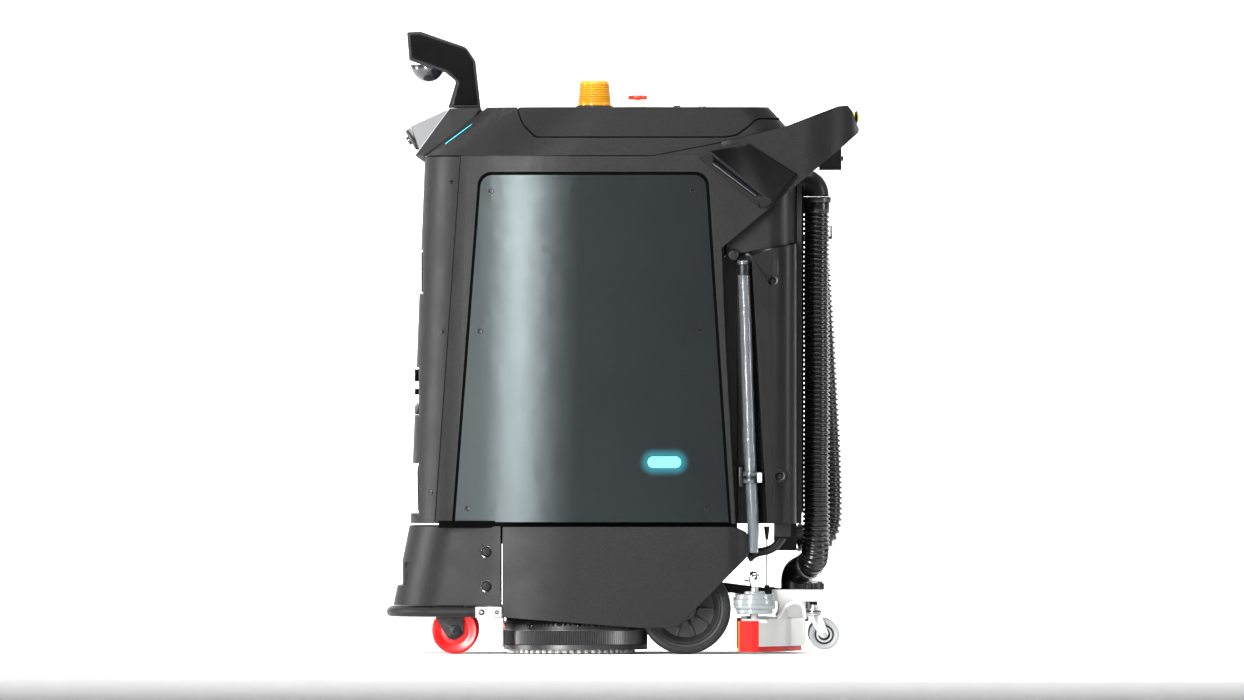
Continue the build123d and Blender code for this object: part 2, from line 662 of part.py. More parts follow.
def caster_wheel(side):
    y = side * CASTER_Y
    wheel = cross_rod(CASTER_X, CASTER_R, CASTER_R, y - CASTER_WIDTH / 2, y + CASTER_WIDTH / 2)
    wheel = soften(wheel, wheel.edges(), 7)
    wheel += cross_rod(CASTER_X, CASTER_R, 12, y - 19, y + 19)
    return wheel - cross_rod(CASTER_X, CASTER_R, 6 + OUTER, y - 30, y + 30)


def drive_wheel(side):
    """Tyre on a dished rim with a hub."""
    low, high = side * DRIVE_Y - DRIVE_WIDTH / 2, side * DRIVE_Y + DRIVE_WIDTH / 2
    wheel = cross_rod(DRIVE_X, DRIVE_R, DRIVE_R, low, high)
    wheel = soften(wheel, wheel.edges(), 6)
    face = high if side == RIGHT else low
    dish = rod((DRIVE_X, face + side, DRIVE_R), (0, -side, 0), 60, 13)
    hub = rod((DRIVE_X, face - side * 3, DRIVE_R), (0, -side, 0), 24, 12)
    return wheel - dish + hub - cross_rod(DRIVE_X, DRIVE_R, 10 + OUTER, low - 5, high + 5)


# ---- brush deck ---------------------------------------------------------------------
def deck_plan(z0, z1, inset):
    x0, x1, y = -253 + inset, 52 - inset, 303 - inset
    corner = 145 - inset
    return slab([(x0, -y), (x1, -y), (x1, y), (x0, y)], z0, z1, [corner] * 4)


def brush_deck():
    """Lifting deck plate with its rim, guide bushes and the clamping band."""
    deck = deck_plan(66, 84, 6) - deck_plan(60, 80, 10)
    deck += deck_plan(52.5, 66, 0) - deck_plan(50, 66, 10)
    for side in (LEFT, RIGHT):
        deck -= post(BRUSH_X, side * BRUSH_Y, 8, 70, 90)
    for y in (-40, 40):
        deck += post(-20, y, 15, 84, 118)
        deck -= post(-20, y, 8 + OUTER, 60, 130)
    return deck


def brush_skirt():
    """Bristle and rubber curtain round the brushes."""
    return (deck_plan(9.5, 52.4, 1) - deck_plan(5, 60, 9)) + (deck_plan(9.5, 19, 0) - deck_plan(5, 25, 2))


def brush_motors():
    pieces = []
    for side in (LEFT, RIGHT):
        y = side * BRUSH_Y
        pieces.append(post(BRUSH_X, y, 58, 84, 188) + post(BRUSH_X, y, 8, 46, 84))
    return pieces


def brush(side):
    """Disc brush: block with a ring of bristles."""
    y = side * BRUSH_Y
    disc = post(BRUSH_X, y, BRUSH_R - 4, 34, 44)
    bristles = post(BRUSH_X, y, BRUSH_R, 1.5, 34) - post(BRUSH_X, y, 60, 0, 34)
    return disc + bristles - post(BRUSH_X, y, 8 + OUTER, 30, 60)


# ---- squeegee -----------------------------------------------------------------------
def squeegee_arc(offset, z0, z1, half):
    """Strip between two plan arcs; offset is (rear, front) behind the blade line."""
    centre = SQUEEGEE_REAR_X - SQUEEGEE_RADIUS
    outer = post(centre, 0, SQUEEGEE_RADIUS + offset[0], z0, z1)
    inner = post(centre, 0, SQUEEGEE_RADIUS + offset[1], z0 - 1, z1 + 1)
    return (outer - inner) & block(100, 500, -half, half, z0, z1)


def squeegee_arm():
    """Lifting arm from the chassis to the squeegee's swing pivot."""
    x, z = ARM_PIVOT
    arm = cross_rod(x, z, 17, -43.5, 43.5)
    arm += upright([(x, 166), (300, 138), (326, 138), (326, 124), (300, 124), (x, 134)], -34, 34)
    arm += block(297, 308, -66, -50, 127, 144) + block(292, 308, -52, -30, 124, 138)
    arm -= cross_rod(x, z, 8 + OUTER, -60, 60)
    return arm - post(SWING_X, 0, 9 + OUTER, 100, 150)


def squeegee_frame():
    """Curved squeegee body, its top plate and pivot, the roller arms and the caster lugs."""
    body = squeegee_arc((10, -16), 17, 75, 352)
    body -= squeegee_arc((6, -8), 10, 66, 346)
    plate = slab([(290, -52), (396, -52), (396, 52), (290, 52)], 111, 123.6, [6, 10, 10, 6])
    plate += post(SWING_X, 0, 9, 110, 140)
    well = post(362, 0, 30, 60, 124)
    pieces = [plate - well]
    for side in (LEFT, RIGHT):
        low, high = sorted((side * 42, side * 50))
        pieces.append(block(330, 384, low, high, 75, 111) - well)
        low, high = sorted((side * 205, side * 262))
        lug = slab([(312, low), (420, low), (420, high), (312, high)], 131, 136, [4] * 4)
        pieces.append(lug - post(STEM_X, side * SMALL_Y, 4 + OUTER, 90, 150))
        for edge in (low, high - 5):
            pieces.append(block(312, 378, edge, edge + 5, 111, 131))
        rear = block(378, 420, low, high, 111, 131) - post(STEM_X, side * SMALL_Y, 4 + OUTER, 90, 150)
        pieces += [rear, block(326, 346, low, high, 75, 111)]
        y = side * ROLLER_Y
        body += post(ROLLER_X, y, 8, 66, 132)
        low, high = sorted((side * 322, side * 350))
        body += block(262, 302, low, high, 66.5, 75)
    return pieces + [body - well]


def squeegee_blade():
    """Red rubber blade along the body, turned up at both ends."""
    blade = squeegee_arc((2.5, -4.5), 6, 65.5, 345.5)
    for side in (LEFT, RIGHT):
        low, high = sorted((side * 352.4, side * 366))
        blade += slab([(240, low), (270, low), (284, high), (240, high)], 6, 71)
    return blade


def suction_port():
    """Elbow on the squeegee that the suction hose plugs into."""
    points = [(362, 0, 67), (362, 0, 168), (388, -48, 184)]
    path = FilletPolyline(*points, radius=22)
    return sweep(Plane(origin=points[0], z_dir=(0, 0, 1)) * Circle(29.6), path=path)


def roller(side):
    """Side guide roller with a bearing cap, a bright dome and a small lever."""
    y = side * ROLLER_Y
    wheel = post(ROLLER_X, y, 43.7, 96, 116.5)
    wheel += post(ROLLER_X, y, 40, 116.5, 127) + post(ROLLER_X, y, 38.5, 85, 96)
    wheel += post(ROLLER_X, y, 22, 127, 133) - post(ROLLER_X, y, 12, 132.2, 134)
    return wheel - post(ROLLER_X, y, 8 + OUTER, 80, 132.1)


def roller_tops():
    pieces = []
    for side in (LEFT, RIGHT):
        y = side * ROLLER_Y
        knob = post(ROLLER_X, y, 7.4, 132.2, 152) + post(ROLLER_X, y, 11.2, 152, 163)
        knob += Pos(ROLLER_X, y, 162.5) * Sphere(11)
        knob += block(257, 268, y - 2, y + 2, 148, 152)
        pieces.append(knob)
    return pieces


def squeegee_fork(side):
    """Small caster fork: stem, star knob and washers."""
    y = side * SMALL_Y
    leg = [(389, 81), (417, 81), (432, 41), (422, 31), (410, 41)]
    radii = [2, 2, 9, 9, 9]
    fork = upright(leg, y - 18, y - 15, radii) + upright(leg, y + 15, y + 18, radii)
    fork += block(387, 416, y - 18, y + 18, 78, 81.5)
    fork += post(STEM_X, y, 15, 81.5, 86) + post(STEM_X, y, 16.5, 86, 91) + post(STEM_X, y, 8, 91, 110.6)
    fork += post(STEM_X, y, 4, 91, 138)
    fork += post(STEM_X, y, 17, 136.3, 149)
    for k in range(8):
        place = Rot(0, 0, k * 45) * Pos(18, 0, 0)
        fork += Pos(STEM_X, y, 0) * place * post(0, 0, 4, 136.3, 149)
    return fork + cross_rod(SMALL_AXLE_X, 41.4, 4, y - 21, y + 21)


def squeegee_wheel(side):
    y = side * SMALL_Y
    wheel = cross_rod(SMALL_AXLE_X, 41.4, SMALL_WHEEL_R, y - 12, y + 12)
    wheel = soften(wheel, wheel.edges(), 3)
    return wheel - cross_rod(SMALL_AXLE_X, 41.4, 4 + OUTER, y - 20, y + 20)


# ---- the nodes ----------------------------------------------------------------------
NODES = {
    "chassis_frame": lambda: chassis_frame() + rear_rails(),
    "front_skirt": lambda: [front_skirt()] + front_skirt_bolts(),
    "nose_cover": nose_cover,
    "side_shell_left": lambda: side_shell(LEFT),
    "side_shell_right": lambda: side_shell(RIGHT),
    "push_handle": push_handle,
    "top_shell": lambda: top_shell() + lid_hinge_pins(),
    "side_panel_left": lambda: side_panel(LEFT),
    "side_panel_right": lambda: side_panel(RIGHT),
    "screws": screws,
    "led_lenses": led_lenses,
    "head_housing": head_housing,
    "head_camera": head_camera,
    "sensor_arm": sensor_arm,
    "sensor_optics": sensor_optics,
    "side_pods": side_pods,
    "recovery_tank": recovery_tank,
    "solution_tank": solution_tank,
    "battery_pack": battery_pack,
    "vacuum_motor": vacuum_motor,
    "control_unit": control_unit,
    "drive_motors": drive_motors,
    "bumper_clamps": bumper_clamps,
    "rear_control_box": rear_control_box,
    "plumbing": plumbing,
    "level_tube": level_tube,
    "drain_hose": drain_hose,
    "drain_plug": drain_plug,
    "suction_hose": suction_hose,
    "lift_cable": lift_cable,
    "lid": lid,
    "beacon_lens": beacon_lens,
    "lid_fittings": lid_fittings,
    "estop_head": estop_head,
    "start_button": start_button,
    "key_switch": key_switch,
    "handle_button": handle_button,
    "side_skirt_left": lambda: side_skirt(LEFT),
    "side_skirt_right": lambda: side_skirt(RIGHT),
    "bumper_bar": bumper_bar,
    "caster_fork_left": lambda: caster_fork(LEFT),
    "caster_fork_right": lambda: caster_fork(RIGHT),
    "caster_wheel_left": lambda: caster_wheel(LEFT),
    "caster_wheel_right": lambda: caster_wheel(RIGHT),
    "drive_wheel_left": lambda: drive_wheel(LEFT),
    "drive_wheel_right": lambda: drive_wheel(RIGHT),
    "brush_deck": lambda: [brush_deck()] + brush_motors(),
    "brush_skirt": brush_skirt,
    "brush_left": lambda: brush(LEFT),
    "brush_right": lambda: brush(RIGHT),
    "squeegee_arm": squeegee_arm,
    "squeegee_frame": lambda: squeegee_frame() + roller_tops(),
    "squeegee_blade": squeegee_blade,
    "suction_port": suction_port,
    "roller_left": lambda: roller(LEFT),
    "roller_right": lambda: roller(RIGHT),
    "squeegee_fork_left": lambda: squeegee_fork(LEFT),
    "squeegee_fork_right": lambda: squeegee_fork(RIGHT),
    "squeegee_wheel_left": lambda: squeegee_wheel(LEFT),
    "squeegee_wheel_right": lambda: squeegee_wheel(RIGHT),
}


def as_solids(made):
    """Flatten a piece or a list of pieces into a list of solids."""
    shapes = made if isinstance(made, list) else [made]
    return [solid for shape in shapes for solid in shape.solids()]


os.makedirs("parts", exist_ok=True)
for name, make in NODES.items():
    solids = as_solids(make())
    export_step(Compound(children=solids), f"parts/{name}.step")
    print(name, len(solids), "solids", round(sum(s.volume for s in solids) / 1000), "cm3")
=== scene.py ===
# %% [markdown]
# # A robotic floor cleaner, finished in Blender
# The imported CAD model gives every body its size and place. This lesson keeps that frame and builds the
# looks round it: textured casings, a brushed side panel, ribbed hoses, brushes, wheels and lamps. All
# lengths are metres, +Z is up and the machine drives towards -X.

# %% Load the frame
import json
import math

import bmesh
import bpy
from mathutils import Matrix, Vector

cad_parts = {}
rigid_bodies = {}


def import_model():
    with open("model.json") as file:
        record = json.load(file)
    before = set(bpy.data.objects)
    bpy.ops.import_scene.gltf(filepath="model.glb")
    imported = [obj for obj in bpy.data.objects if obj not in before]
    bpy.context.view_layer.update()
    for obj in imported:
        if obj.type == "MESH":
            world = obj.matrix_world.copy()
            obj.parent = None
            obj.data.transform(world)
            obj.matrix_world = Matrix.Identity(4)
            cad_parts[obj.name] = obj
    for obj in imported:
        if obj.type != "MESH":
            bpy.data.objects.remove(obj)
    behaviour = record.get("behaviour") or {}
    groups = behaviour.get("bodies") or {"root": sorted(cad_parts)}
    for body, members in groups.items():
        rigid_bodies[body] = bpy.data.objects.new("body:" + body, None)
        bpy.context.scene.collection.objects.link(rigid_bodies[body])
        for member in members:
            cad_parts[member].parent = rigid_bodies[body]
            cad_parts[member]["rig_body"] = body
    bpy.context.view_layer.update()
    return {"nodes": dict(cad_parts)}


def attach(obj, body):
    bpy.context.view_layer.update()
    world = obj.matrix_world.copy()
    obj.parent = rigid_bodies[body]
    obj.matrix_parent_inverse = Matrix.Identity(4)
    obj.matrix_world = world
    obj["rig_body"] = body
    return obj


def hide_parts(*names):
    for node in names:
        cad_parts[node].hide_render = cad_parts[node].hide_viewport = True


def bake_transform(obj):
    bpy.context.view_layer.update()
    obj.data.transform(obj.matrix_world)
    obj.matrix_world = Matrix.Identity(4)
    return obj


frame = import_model()
nodes = frame["nodes"]
MM = 0.001
LEFT, RIGHT = -1, 1
print("loaded", len(nodes), "nodes")

# %% [markdown]
# ## The camera
# The machine is seen square from its left side. A long lens from far away keeps the verticals upright and
# hides nearly all perspective, as a catalogue view does. The view's width is measured on the machine's left
# side, which stands nearer to the camera than the middle.

# %% Camera
VIEW_WIDTH = 2.612
SIDE_PLANE = 0.30
LENS, SENSOR = 800.0, 36.0
AIM = Vector((-0.003, 0.0, 0.6395))
camera_data = bpy.data.cameras.new("side_camera")
camera_data.lens = LENS
camera_data.sensor_width = SENSOR
camera_data.clip_end = 160
camera = bpy.data.objects.new("side_camera", camera_data)
bpy.context.scene.collection.objects.link(camera)
distance = VIEW_WIDTH * LENS / SENSOR + SIDE_PLANE
camera.location = AIM + Vector((0, -distance, 0))
camera.rotation_euler = (math.radians(90), 0, 0)
bpy.context.scene.camera = camera
bpy.context.scene.view_settings.view_transform = "Standard"
print("camera stands", round(distance, 2), "m away")

# %% [markdown]
# ## Small tools for materials
# A material here is a Principled shader whose colour, roughness and bump come from noise read in Object
# coordinates, so the grain stays put on the piece. Constants go straight onto the shader's sockets.

# %% Material helpers
def new_material(name):
    """An empty node material with its Principled shader."""
    made = bpy.data.materials.new(name)
    made.use_nodes = True
    tree = made.node_tree
    tree.nodes.clear()
    output = tree.nodes.new("ShaderNodeOutputMaterial")
    shader = tree.nodes.new("ShaderNodeBsdfPrincipled")
    tree.links.new(shader.outputs[0], output.inputs[0])
    return made, tree, shader


def grain(tree, scale, detail=3.0, stretch=(1, 1, 1), roughness=0.5):
    """Noise in Object coordinates; stretch draws it out along an axis."""
    place = tree.nodes.new("ShaderNodeTexCoord")
    mapping = tree.nodes.new("ShaderNodeMapping")
    mapping.inputs["Scale"].default_value = stretch
    noise = tree.nodes.new("ShaderNodeTexNoise")
    noise.inputs["Scale"].default_value = scale
    noise.inputs["Detail"].default_value = detail
    noise.inputs["Roughness"].default_value = roughness
    tree.links.new(place.outputs["Object"], mapping.inputs[0])
    tree.links.new(mapping.outputs[0], noise.inputs["Vector"])
    return noise.outputs["Fac"]


def spread(tree, value, low, high, start=0.3, stop=0.7):
    """Map a noise value onto a range."""
    node = tree.nodes.new("ShaderNodeMapRange")
    node.inputs["From Min"].default_value = start
    node.inputs["From Max"].default_value = stop
    node.inputs["To Min"].default_value = low
    node.inputs["To Max"].default_value = high
    tree.links.new(value, node.inputs["Value"])
    return node.outputs[0]


def two_tones(tree, value, dark, light):
    """Blend two colours by a value."""
    node = tree.nodes.new("ShaderNodeMix")
    node.data_type = "RGBA"
    node.inputs["A"].default_value = (*dark, 1)
    node.inputs["B"].default_value = (*light, 1)
    tree.links.new(value, node.inputs["Factor"])
    return node.outputs["Result"]


def bumped(tree, shader, value, height, strength=0.5, edge=0.0):
    """Feed a height to the normal, over softly rounded edges."""
    bump = tree.nodes.new("ShaderNodeBump")
    bump.inputs["Strength"].default_value = strength
    bump.inputs["Distance"].default_value = height
    tree.links.new(value, bump.inputs["Height"])
    if edge:
        rounded = tree.nodes.new("ShaderNodeBevel")
        rounded.samples = 4
        rounded.inputs["Radius"].default_value = edge
        tree.links.new(rounded.outputs[0], bump.inputs["Normal"])
    tree.links.new(bump.outputs[0], shader.inputs["Normal"])
    return bump


def moulded(name, tone, rough, grain_size=0.0012, depth=0.00015, mottle=0.12, edge=0.0012, coat=0.0, gleam=0.5):
    """Moulded plastic or rubber: fine grain, faint mottling and rounded edges."""
    made, tree, shader = new_material(name)
    fine = grain(tree, 1 / grain_size, 2)
    broad = grain(tree, 14, 4)
    dark = [c * (1 - mottle) for c in tone]
    light = [c * (1 + mottle) for c in tone]
    speck = spread(tree, fine, 0.0, 1.0, 0.35, 0.65)
    tree.links.new(two_tones(tree, speck, dark, light), shader.inputs["Base Color"])
    tree.links.new(spread(tree, broad, rough * 0.9, rough * 1.12), shader.inputs["Roughness"])
    shader.inputs["Specular IOR Level"].default_value = gleam
    shader.inputs["Coat Weight"].default_value = coat
    shader.inputs["Coat Roughness"].default_value = 0.12
    bumped(tree, shader, fine, depth, 0.45, edge)
    return made


def metal(name, tone, rough, stretch=(1, 1, 1), grain_scale=600, depth=0.00004, edge=0.0008):
    """Metal with a directional grain."""
    made, tree, shader = new_material(name)
    line = grain(tree, grain_scale, 4, stretch)
    broad = grain(tree, 5, 1)
    shader.inputs["Metallic"].default_value = 1.0
    dark = [c * 0.9 for c in tone]
    tree.links.new(two_tones(tree, spread(tree, line, 0, 1), dark, tone), shader.inputs["Base Color"])
    tree.links.new(spread(tree, broad, rough * 0.97, rough * 1.03), shader.inputs["Roughness"])
    bumped(tree, shader, line, depth, 0.3, edge)
    return made


print("material helpers ready")

# %% [markdown]
# ## Finishes of this machine
# The casings are charcoal plastic with a spark-eroded grain. The chassis parts are satin black. The side
# panel is anodised, brushed metal. Red, amber, yellow and cyan are kept for wheels, lamps and switches.

# %% Plastics, rubbers and paints
casing = moulded("charcoal_casing", (0.0066, 0.0066, 0.0068), 0.45, 0.0024, 0.00022, 0.3, gleam=0.12)
casing_smooth = moulded("charcoal_smooth", (0.0046, 0.0046, 0.0048), 0.34, 0.0012, 0.00004, 0.08, gleam=0.15)
pod_satin = moulded("pod_satin", (0.0018, 0.0018, 0.0019), 0.16, 0.0012, 0.00002, 0.08, 0.0032, gleam=0.16)
lid_plastic = moulded("lid_plastic", (0.0056, 0.0056, 0.0056), 0.5, 0.0024, 0.00022, 0.32, gleam=0.12)
black_satin = moulded("black_satin", (0.0045, 0.0045, 0.0048), 0.38, 0.0010, 0.00004, 0.15, gleam=0.22)
gasket_black = moulded("gasket_black", (0.0006, 0.0006, 0.0006), 0.8, 0.0012, 0.00004, 0.2, 0, gleam=0.02)
black_gloss = moulded("black_gloss", (0.008, 0.008, 0.010), 0.1, 0.002, 0.00001, 0.05, 0.0006, 0.6)
hose_black = moulded("hose_black", (0.005, 0.005, 0.0053), 0.24, 0.0012, 0.00001, 0.08, 0, gleam=0.42)
tyre_black = moulded("tyre_black", (0.009, 0.009, 0.0093), 0.5, 0.0014, 0.0001, 0.2, 0, gleam=0.25)
rim_grey = moulded("rim_grey", (0.014, 0.014, 0.015), 0.34, 0.0016, 0.00006, 0.12, gleam=0.3)
wheel_red = moulded("wheel_red", (0.60, 0.002, 0.0018), 0.3, 0.003, 0.00003, 0.05, 0.0008, 0.0, 0.3)
stop_red = moulded("stop_red", (0.85, 0.03, 0.01), 0.22, 0.003, 0.00002, 0.05, 0.0005, 0.4)
blade_red = moulded("blade_red", (0.36, 0.006, 0.004), 0.5, 0.002, 0.00005, 0.08, 0.0005, gleam=0.12)
blade_orange = moulded("blade_orange", (0.48, 0.085, 0.008), 0.5, 0.002, 0.00005, 0.06, 0, gleam=0.12)
label_yellow = moulded("label_yellow", (0.85, 0.80, 0.05), 0.4, 0.002, 0.00002, 0.06, 0)
label_pale = moulded("label_pale", (0.80, 0.75, 0.42), 0.5, 0.002, 0.00002, 0.06, 0)
white_coat = moulded("white_coat", (0.36, 0.36, 0.356), 0.36, 0.0024, 0.00006, 0.03)
pale_clear = moulded("pale_clear", (0.72, 0.72, 0.70), 0.16, 0.002, 0.00002, 0.04, 0.0005, 0.5)
light_grey = moulded("light_grey", (0.25, 0.255, 0.262), 0.42, 0.002, 0.00005, 0.06)
camera_grey = moulded("camera_grey", (0.085, 0.085, 0.088), 0.34, 0.002, 0.00004, 0.08)
roller_grey = moulded("roller_grey", (0.145, 0.163, 0.168), 0.25, 0.002, 0.00003, 0.05, 0.0008, 0.3)
bumper_rubber = moulded("bumper_rubber", (0.006, 0.006, 0.0062), 0.5, 0.0014, 0.00006, 0.15, 0, gleam=0.14)
tread_grey = moulded("tread_grey", (0.19, 0.195, 0.20), 0.5, 0.0016, 0.00006, 0.06, 0)
tank_black = moulded("tank_black", (0.010, 0.010, 0.0105), 0.5, 0.003, 0.0001, 0.1, gleam=0.3)
print("plastics ready")

# %% Metals
panel_metal = metal("panel_metal", (0.0170, 0.0200, 0.0206), 0.32, (0.03, 1, 1), 900, 0.00002, 0.0006)
screw_metal = metal("screw_metal", (0.028, 0.028, 0.029), 0.22)
chrome = metal("chrome", (0.72, 0.73, 0.74), 0.08, depth=0.00001)
steel = metal("steel", (0.42, 0.43, 0.44), 0.3)
dark_band = metal("dark_band", (0.06, 0.06, 0.062), 0.34, (0.05, 0.05, 1), 700)
print("metals ready")

# %% [markdown]
# The pill lamp and the light strips glow cyan. Round the lamp the panel carries a painted glow, made by
# mixing emission into the panel's own material by distance from the lamp's centre line.

# %% Lamps and clear plastics
LAMP_X, LAMP_Z = 0.086, 0.404
LAMP_HALF = 0.023


def glowing(name, tone, strength):
    """A lit diffuser whose tint varies faintly with noise."""
    made, tree, shader = new_material(name)
    wave = grain(tree, 60, 2)
    tint = two_tones(tree, wave, [c * 0.92 for c in tone], tone)
    tree.links.new(tint, shader.inputs["Base Color"])
    tree.links.new(tint, shader.inputs["Emission Color"])
    shader.inputs["Emission Strength"].default_value = strength
    shader.inputs["Roughness"].default_value = 0.35
    return made


def paint_lamp_glow(made, tone):
    """Painted glow on the panel: emission that fades with distance from the pill lamp."""
    tree = made.node_tree
    shader = next(n for n in tree.nodes if n.type == "BSDF_PRINCIPLED")
    place = tree.nodes.new("ShaderNodeTexCoord")
    split = tree.nodes.new("ShaderNodeSeparateXYZ")
    tree.links.new(place.outputs["Object"], split.inputs[0])

    def math_node(kind, a, b):
        node = tree.nodes.new("ShaderNodeMath")
        node.operation = kind
        for socket, value in zip(node.inputs, (a, b)):
            if isinstance(value, (int, float)):
                socket.default_value = value
            else:
                tree.links.new(value, socket)
        return node.outputs[0]

    along = math_node("ABSOLUTE", math_node("SUBTRACT", split.outputs["X"], LAMP_X), 0)
    along = math_node("MAXIMUM", math_node("SUBTRACT", along, LAMP_HALF), 0)
    up = math_node("SUBTRACT", split.outputs["Z"], LAMP_Z)
    reach = math_node("SQRT", math_node("ADD", math_node("POWER", along, 2), math_node("POWER", up, 2)), 0)
    fade = tree.nodes.new("ShaderNodeMapRange")
    fade.interpolation_type = "SMOOTHERSTEP"
    fade.inputs["From Min"].default_value = 0.010
    fade.inputs["From Max"].default_value = 0.034
    fade.inputs["To Min"].default_value = 0.34
    fade.inputs["To Max"].default_value = 0.0
    tree.links.new(reach, fade.inputs["Value"])
    shader.inputs["Emission Color"].default_value = (*tone, 1)
    tree.links.new(fade.outputs[0], shader.inputs["Emission Strength"])


def clear(name, tone, rough, ior, weight=1.0):
    """Transparent plastic with faint waviness."""
    made, tree, shader = new_material(name)
    wave = grain(tree, 40, 2)
    tree.links.new(two_tones(tree, wave, [c * 0.96 for c in tone], tone), shader.inputs["Base Color"])
    tree.links.new(spread(tree, wave, rough * 0.8, rough * 1.3), shader.inputs["Roughness"])
    shader.inputs["IOR"].default_value = ior
    shader.inputs["Transmission Weight"].default_value = weight
    bumped(tree, shader, wave, 0.0001, 0.2)
    return made


CYAN = (0.07, 0.78, 1.0)
cyan_lamp = glowing("cyan_lamp", CYAN, 0.95)
# Painted glow: the panel's material emits cyan near the pill lamp, in place of the lamp's spilled light.
paint_lamp_glow(panel_metal, CYAN)
clear_vinyl = clear("clear_vinyl", (0.50, 0.53, 0.56), 0.12, 1.4, 0.9)
water = clear("water", (0.26, 0.29, 0.32), 0.05, 1.33, 0.8)
amber = clear("amber_lens", (0.70, 0.31, 0.010), 0.14, 1.4, 0.25)
print("lamps ready")

# %% [markdown]
# ## Small tools for meshes
# Round pieces are turned: a profile is drawn as a chain of vertices and spun about an axis. Flat pieces are
# cut from an outline, extruded and bevelled. CAD casings are copied, merged and shaded smooth, because
# their own meshes are loose triangles.

# %% Mesh helpers
def settle(piece_mesh, name, material, body, sharp=32):
    """Link a finished mesh, shade it, and let it ride on its body, if it has just one."""
    made = bpy.data.objects.new(name, piece_mesh)
    bpy.context.scene.collection.objects.link(made)
    piece_mesh.materials.append(material)
    piece_mesh.shade_smooth()
    piece_mesh.set_sharp_from_angle(angle=math.radians(sharp))
    if body:
        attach(made, body)
    return made


def to_mesh(bm, name, tidy=True):
    """Close a bmesh into a mesh, with its faces pointing out."""
    if tidy:
        bmesh.ops.remove_doubles(bm, verts=bm.verts, dist=2e-6)
        bmesh.ops.recalc_face_normals(bm, faces=bm.faces)
    made = bpy.data.meshes.new(name)
    bm.to_mesh(made)
    bm.free()
    return made


def axis_matrix(axis):
    """Turns +Z onto an axis."""
    return Vector(axis).to_track_quat("Z", "Y").to_matrix()


def spin_profile(bm, profile, centre, axis, steps):
    """Spin a chain of (radius, height) points about an axis through centre."""
    turn = axis_matrix(axis)
    chain = [bm.verts.new(Vector(centre) + turn @ Vector((r, 0, h))) for r, h in profile]
    edges = [bm.edges.new(pair) for pair in zip(chain, chain[1:])]
    bmesh.ops.spin(
        bm, geom=chain + edges, cent=centre, axis=turn @ Vector((0, 0, 1)),
        angle=math.tau, steps=steps, use_merge=True, use_duplicate=False)


def turned(name, profile, centre, axis, material, body, steps=64, sharp=32):
    """A turned piece; profiles are in millimetres."""
    bm = bmesh.new()
    spin_profile(bm, [(r * MM, h * MM) for r, h in profile], centre, axis, steps)
    return settle(to_mesh(bm, name), name, material, body, sharp)


def add_box(bm, low, high, bevel=0.0, segments=2, turn=None):
    """A box between two corners, with its edges rounded."""
    low, high = Vector(low), Vector(high)
    made = bmesh.ops.create_cube(bm, size=1)["verts"]
    size = high - low
    bmesh.ops.scale(bm, vec=size, verts=made)
    if bevel:
        edges = list({e for v in made for e in v.link_edges})
        made = bmesh.ops.bevel(
            bm, geom=edges, offset=bevel, offset_type="OFFSET", affect="EDGES", segments=segments,
            profile=0.5, material=-1, clamp_overlap=True)["verts"]
        made = list({v for v in made})
    if turn is not None:
        bmesh.ops.rotate(bm, cent=(0, 0, 0), matrix=turn, verts=made)
    bmesh.ops.translate(bm, vec=(low + high) / 2, verts=made)
    return made


def boxes(name, corners, material, body, bevel=0.001):
    """One piece made of several rounded boxes, corners in millimetres."""
    bm = bmesh.new()
    for low, high in corners:
        add_box(bm, Vector(low) * MM, Vector(high) * MM, bevel)
    return settle(to_mesh(bm, name), name, material, body)


def add_plate(bm, outline, depth, bevel=0.0, segments=2):
    """Extrude a closed outline along a vector and round its rims."""
    base = [bm.verts.new(p) for p in outline]
    face = bm.faces.new(base)
    grown = bmesh.ops.extrude_face_region(bm, geom=[face])["geom"]
    top = [g for g in grown if isinstance(g, bmesh.types.BMVert)]
    bmesh.ops.translate(bm, vec=depth, verts=top)
    verts = base + top
    if bevel:
        rims = [e for e in bm.edges if e.verts[0] in verts and e.verts[1] in verts]
        bmesh.ops.bevel(
            bm, geom=rims, offset=bevel, offset_type="OFFSET", affect="EDGES", segments=segments,
            profile=0.5, material=-1, clamp_overlap=True)
    return verts


def side_plate(name, outline, y_low, y_high, material, body, bevel=0.001, segments=2):
    """A plate whose outline is drawn in side view, (x, z) in millimetres."""
    bm = bmesh.new()
    points = [Vector((x, y_low, z)) * MM for x, z in outline]
    add_plate(bm, points, Vector((0, (y_high - y_low) * MM, 0)), bevel * 1.0, segments)
    return settle(to_mesh(bm, name), name, material, body)


def side_name(side):
    return "left" if side == LEFT else "right"


def arc(centre, radius, start, stop, steps):
    """Points on an arc, in degrees."""
    turn = [math.radians(start + (stop - start) * i / steps) for i in range(steps + 1)]
    return [(centre[0] + radius * math.cos(a), centre[1] + radius * math.sin(a)) for a in turn]


def skin(node, material, name=None, sharp=28):
    """A merged, smooth-shaded copy of a CAD node that stands for it."""
    source = nodes[node]
    bm = bmesh.new()
    bm.from_mesh(source.data)
    bmesh.ops.remove_doubles(bm, verts=bm.verts, dist=5e-6)
    bmesh.ops.dissolve_degenerate(bm, edges=bm.edges, dist=2e-6)
    pairs = {}
    for face in bm.faces:
        pairs.setdefault(frozenset(face.verts), []).append(face)
    twins = [face for group in pairs.values() if len(group) > 1 for face in group]
    bmesh.ops.delete(bm, geom=twins, context="FACES_ONLY")
    made = bpy.data.meshes.new(name or node + "_skin")
    bm.to_mesh(made)
    bm.free()
    piece = settle(made, name or node + "_skin", material, source["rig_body"], sharp)
    flat = piece.modifiers.new("even_faces", "WEIGHTED_NORMAL")
    flat.keep_sharp = True
    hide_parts(node)
    return piece


def repaint(piece, material, chosen):
    """Give a second material to the faces whose middle passes a test."""
    piece.data.materials.append(material)
    slot = len(piece.data.materials) - 1
    for face in piece.data.polygons:
        if chosen(face.center):
            face.material_index = slot


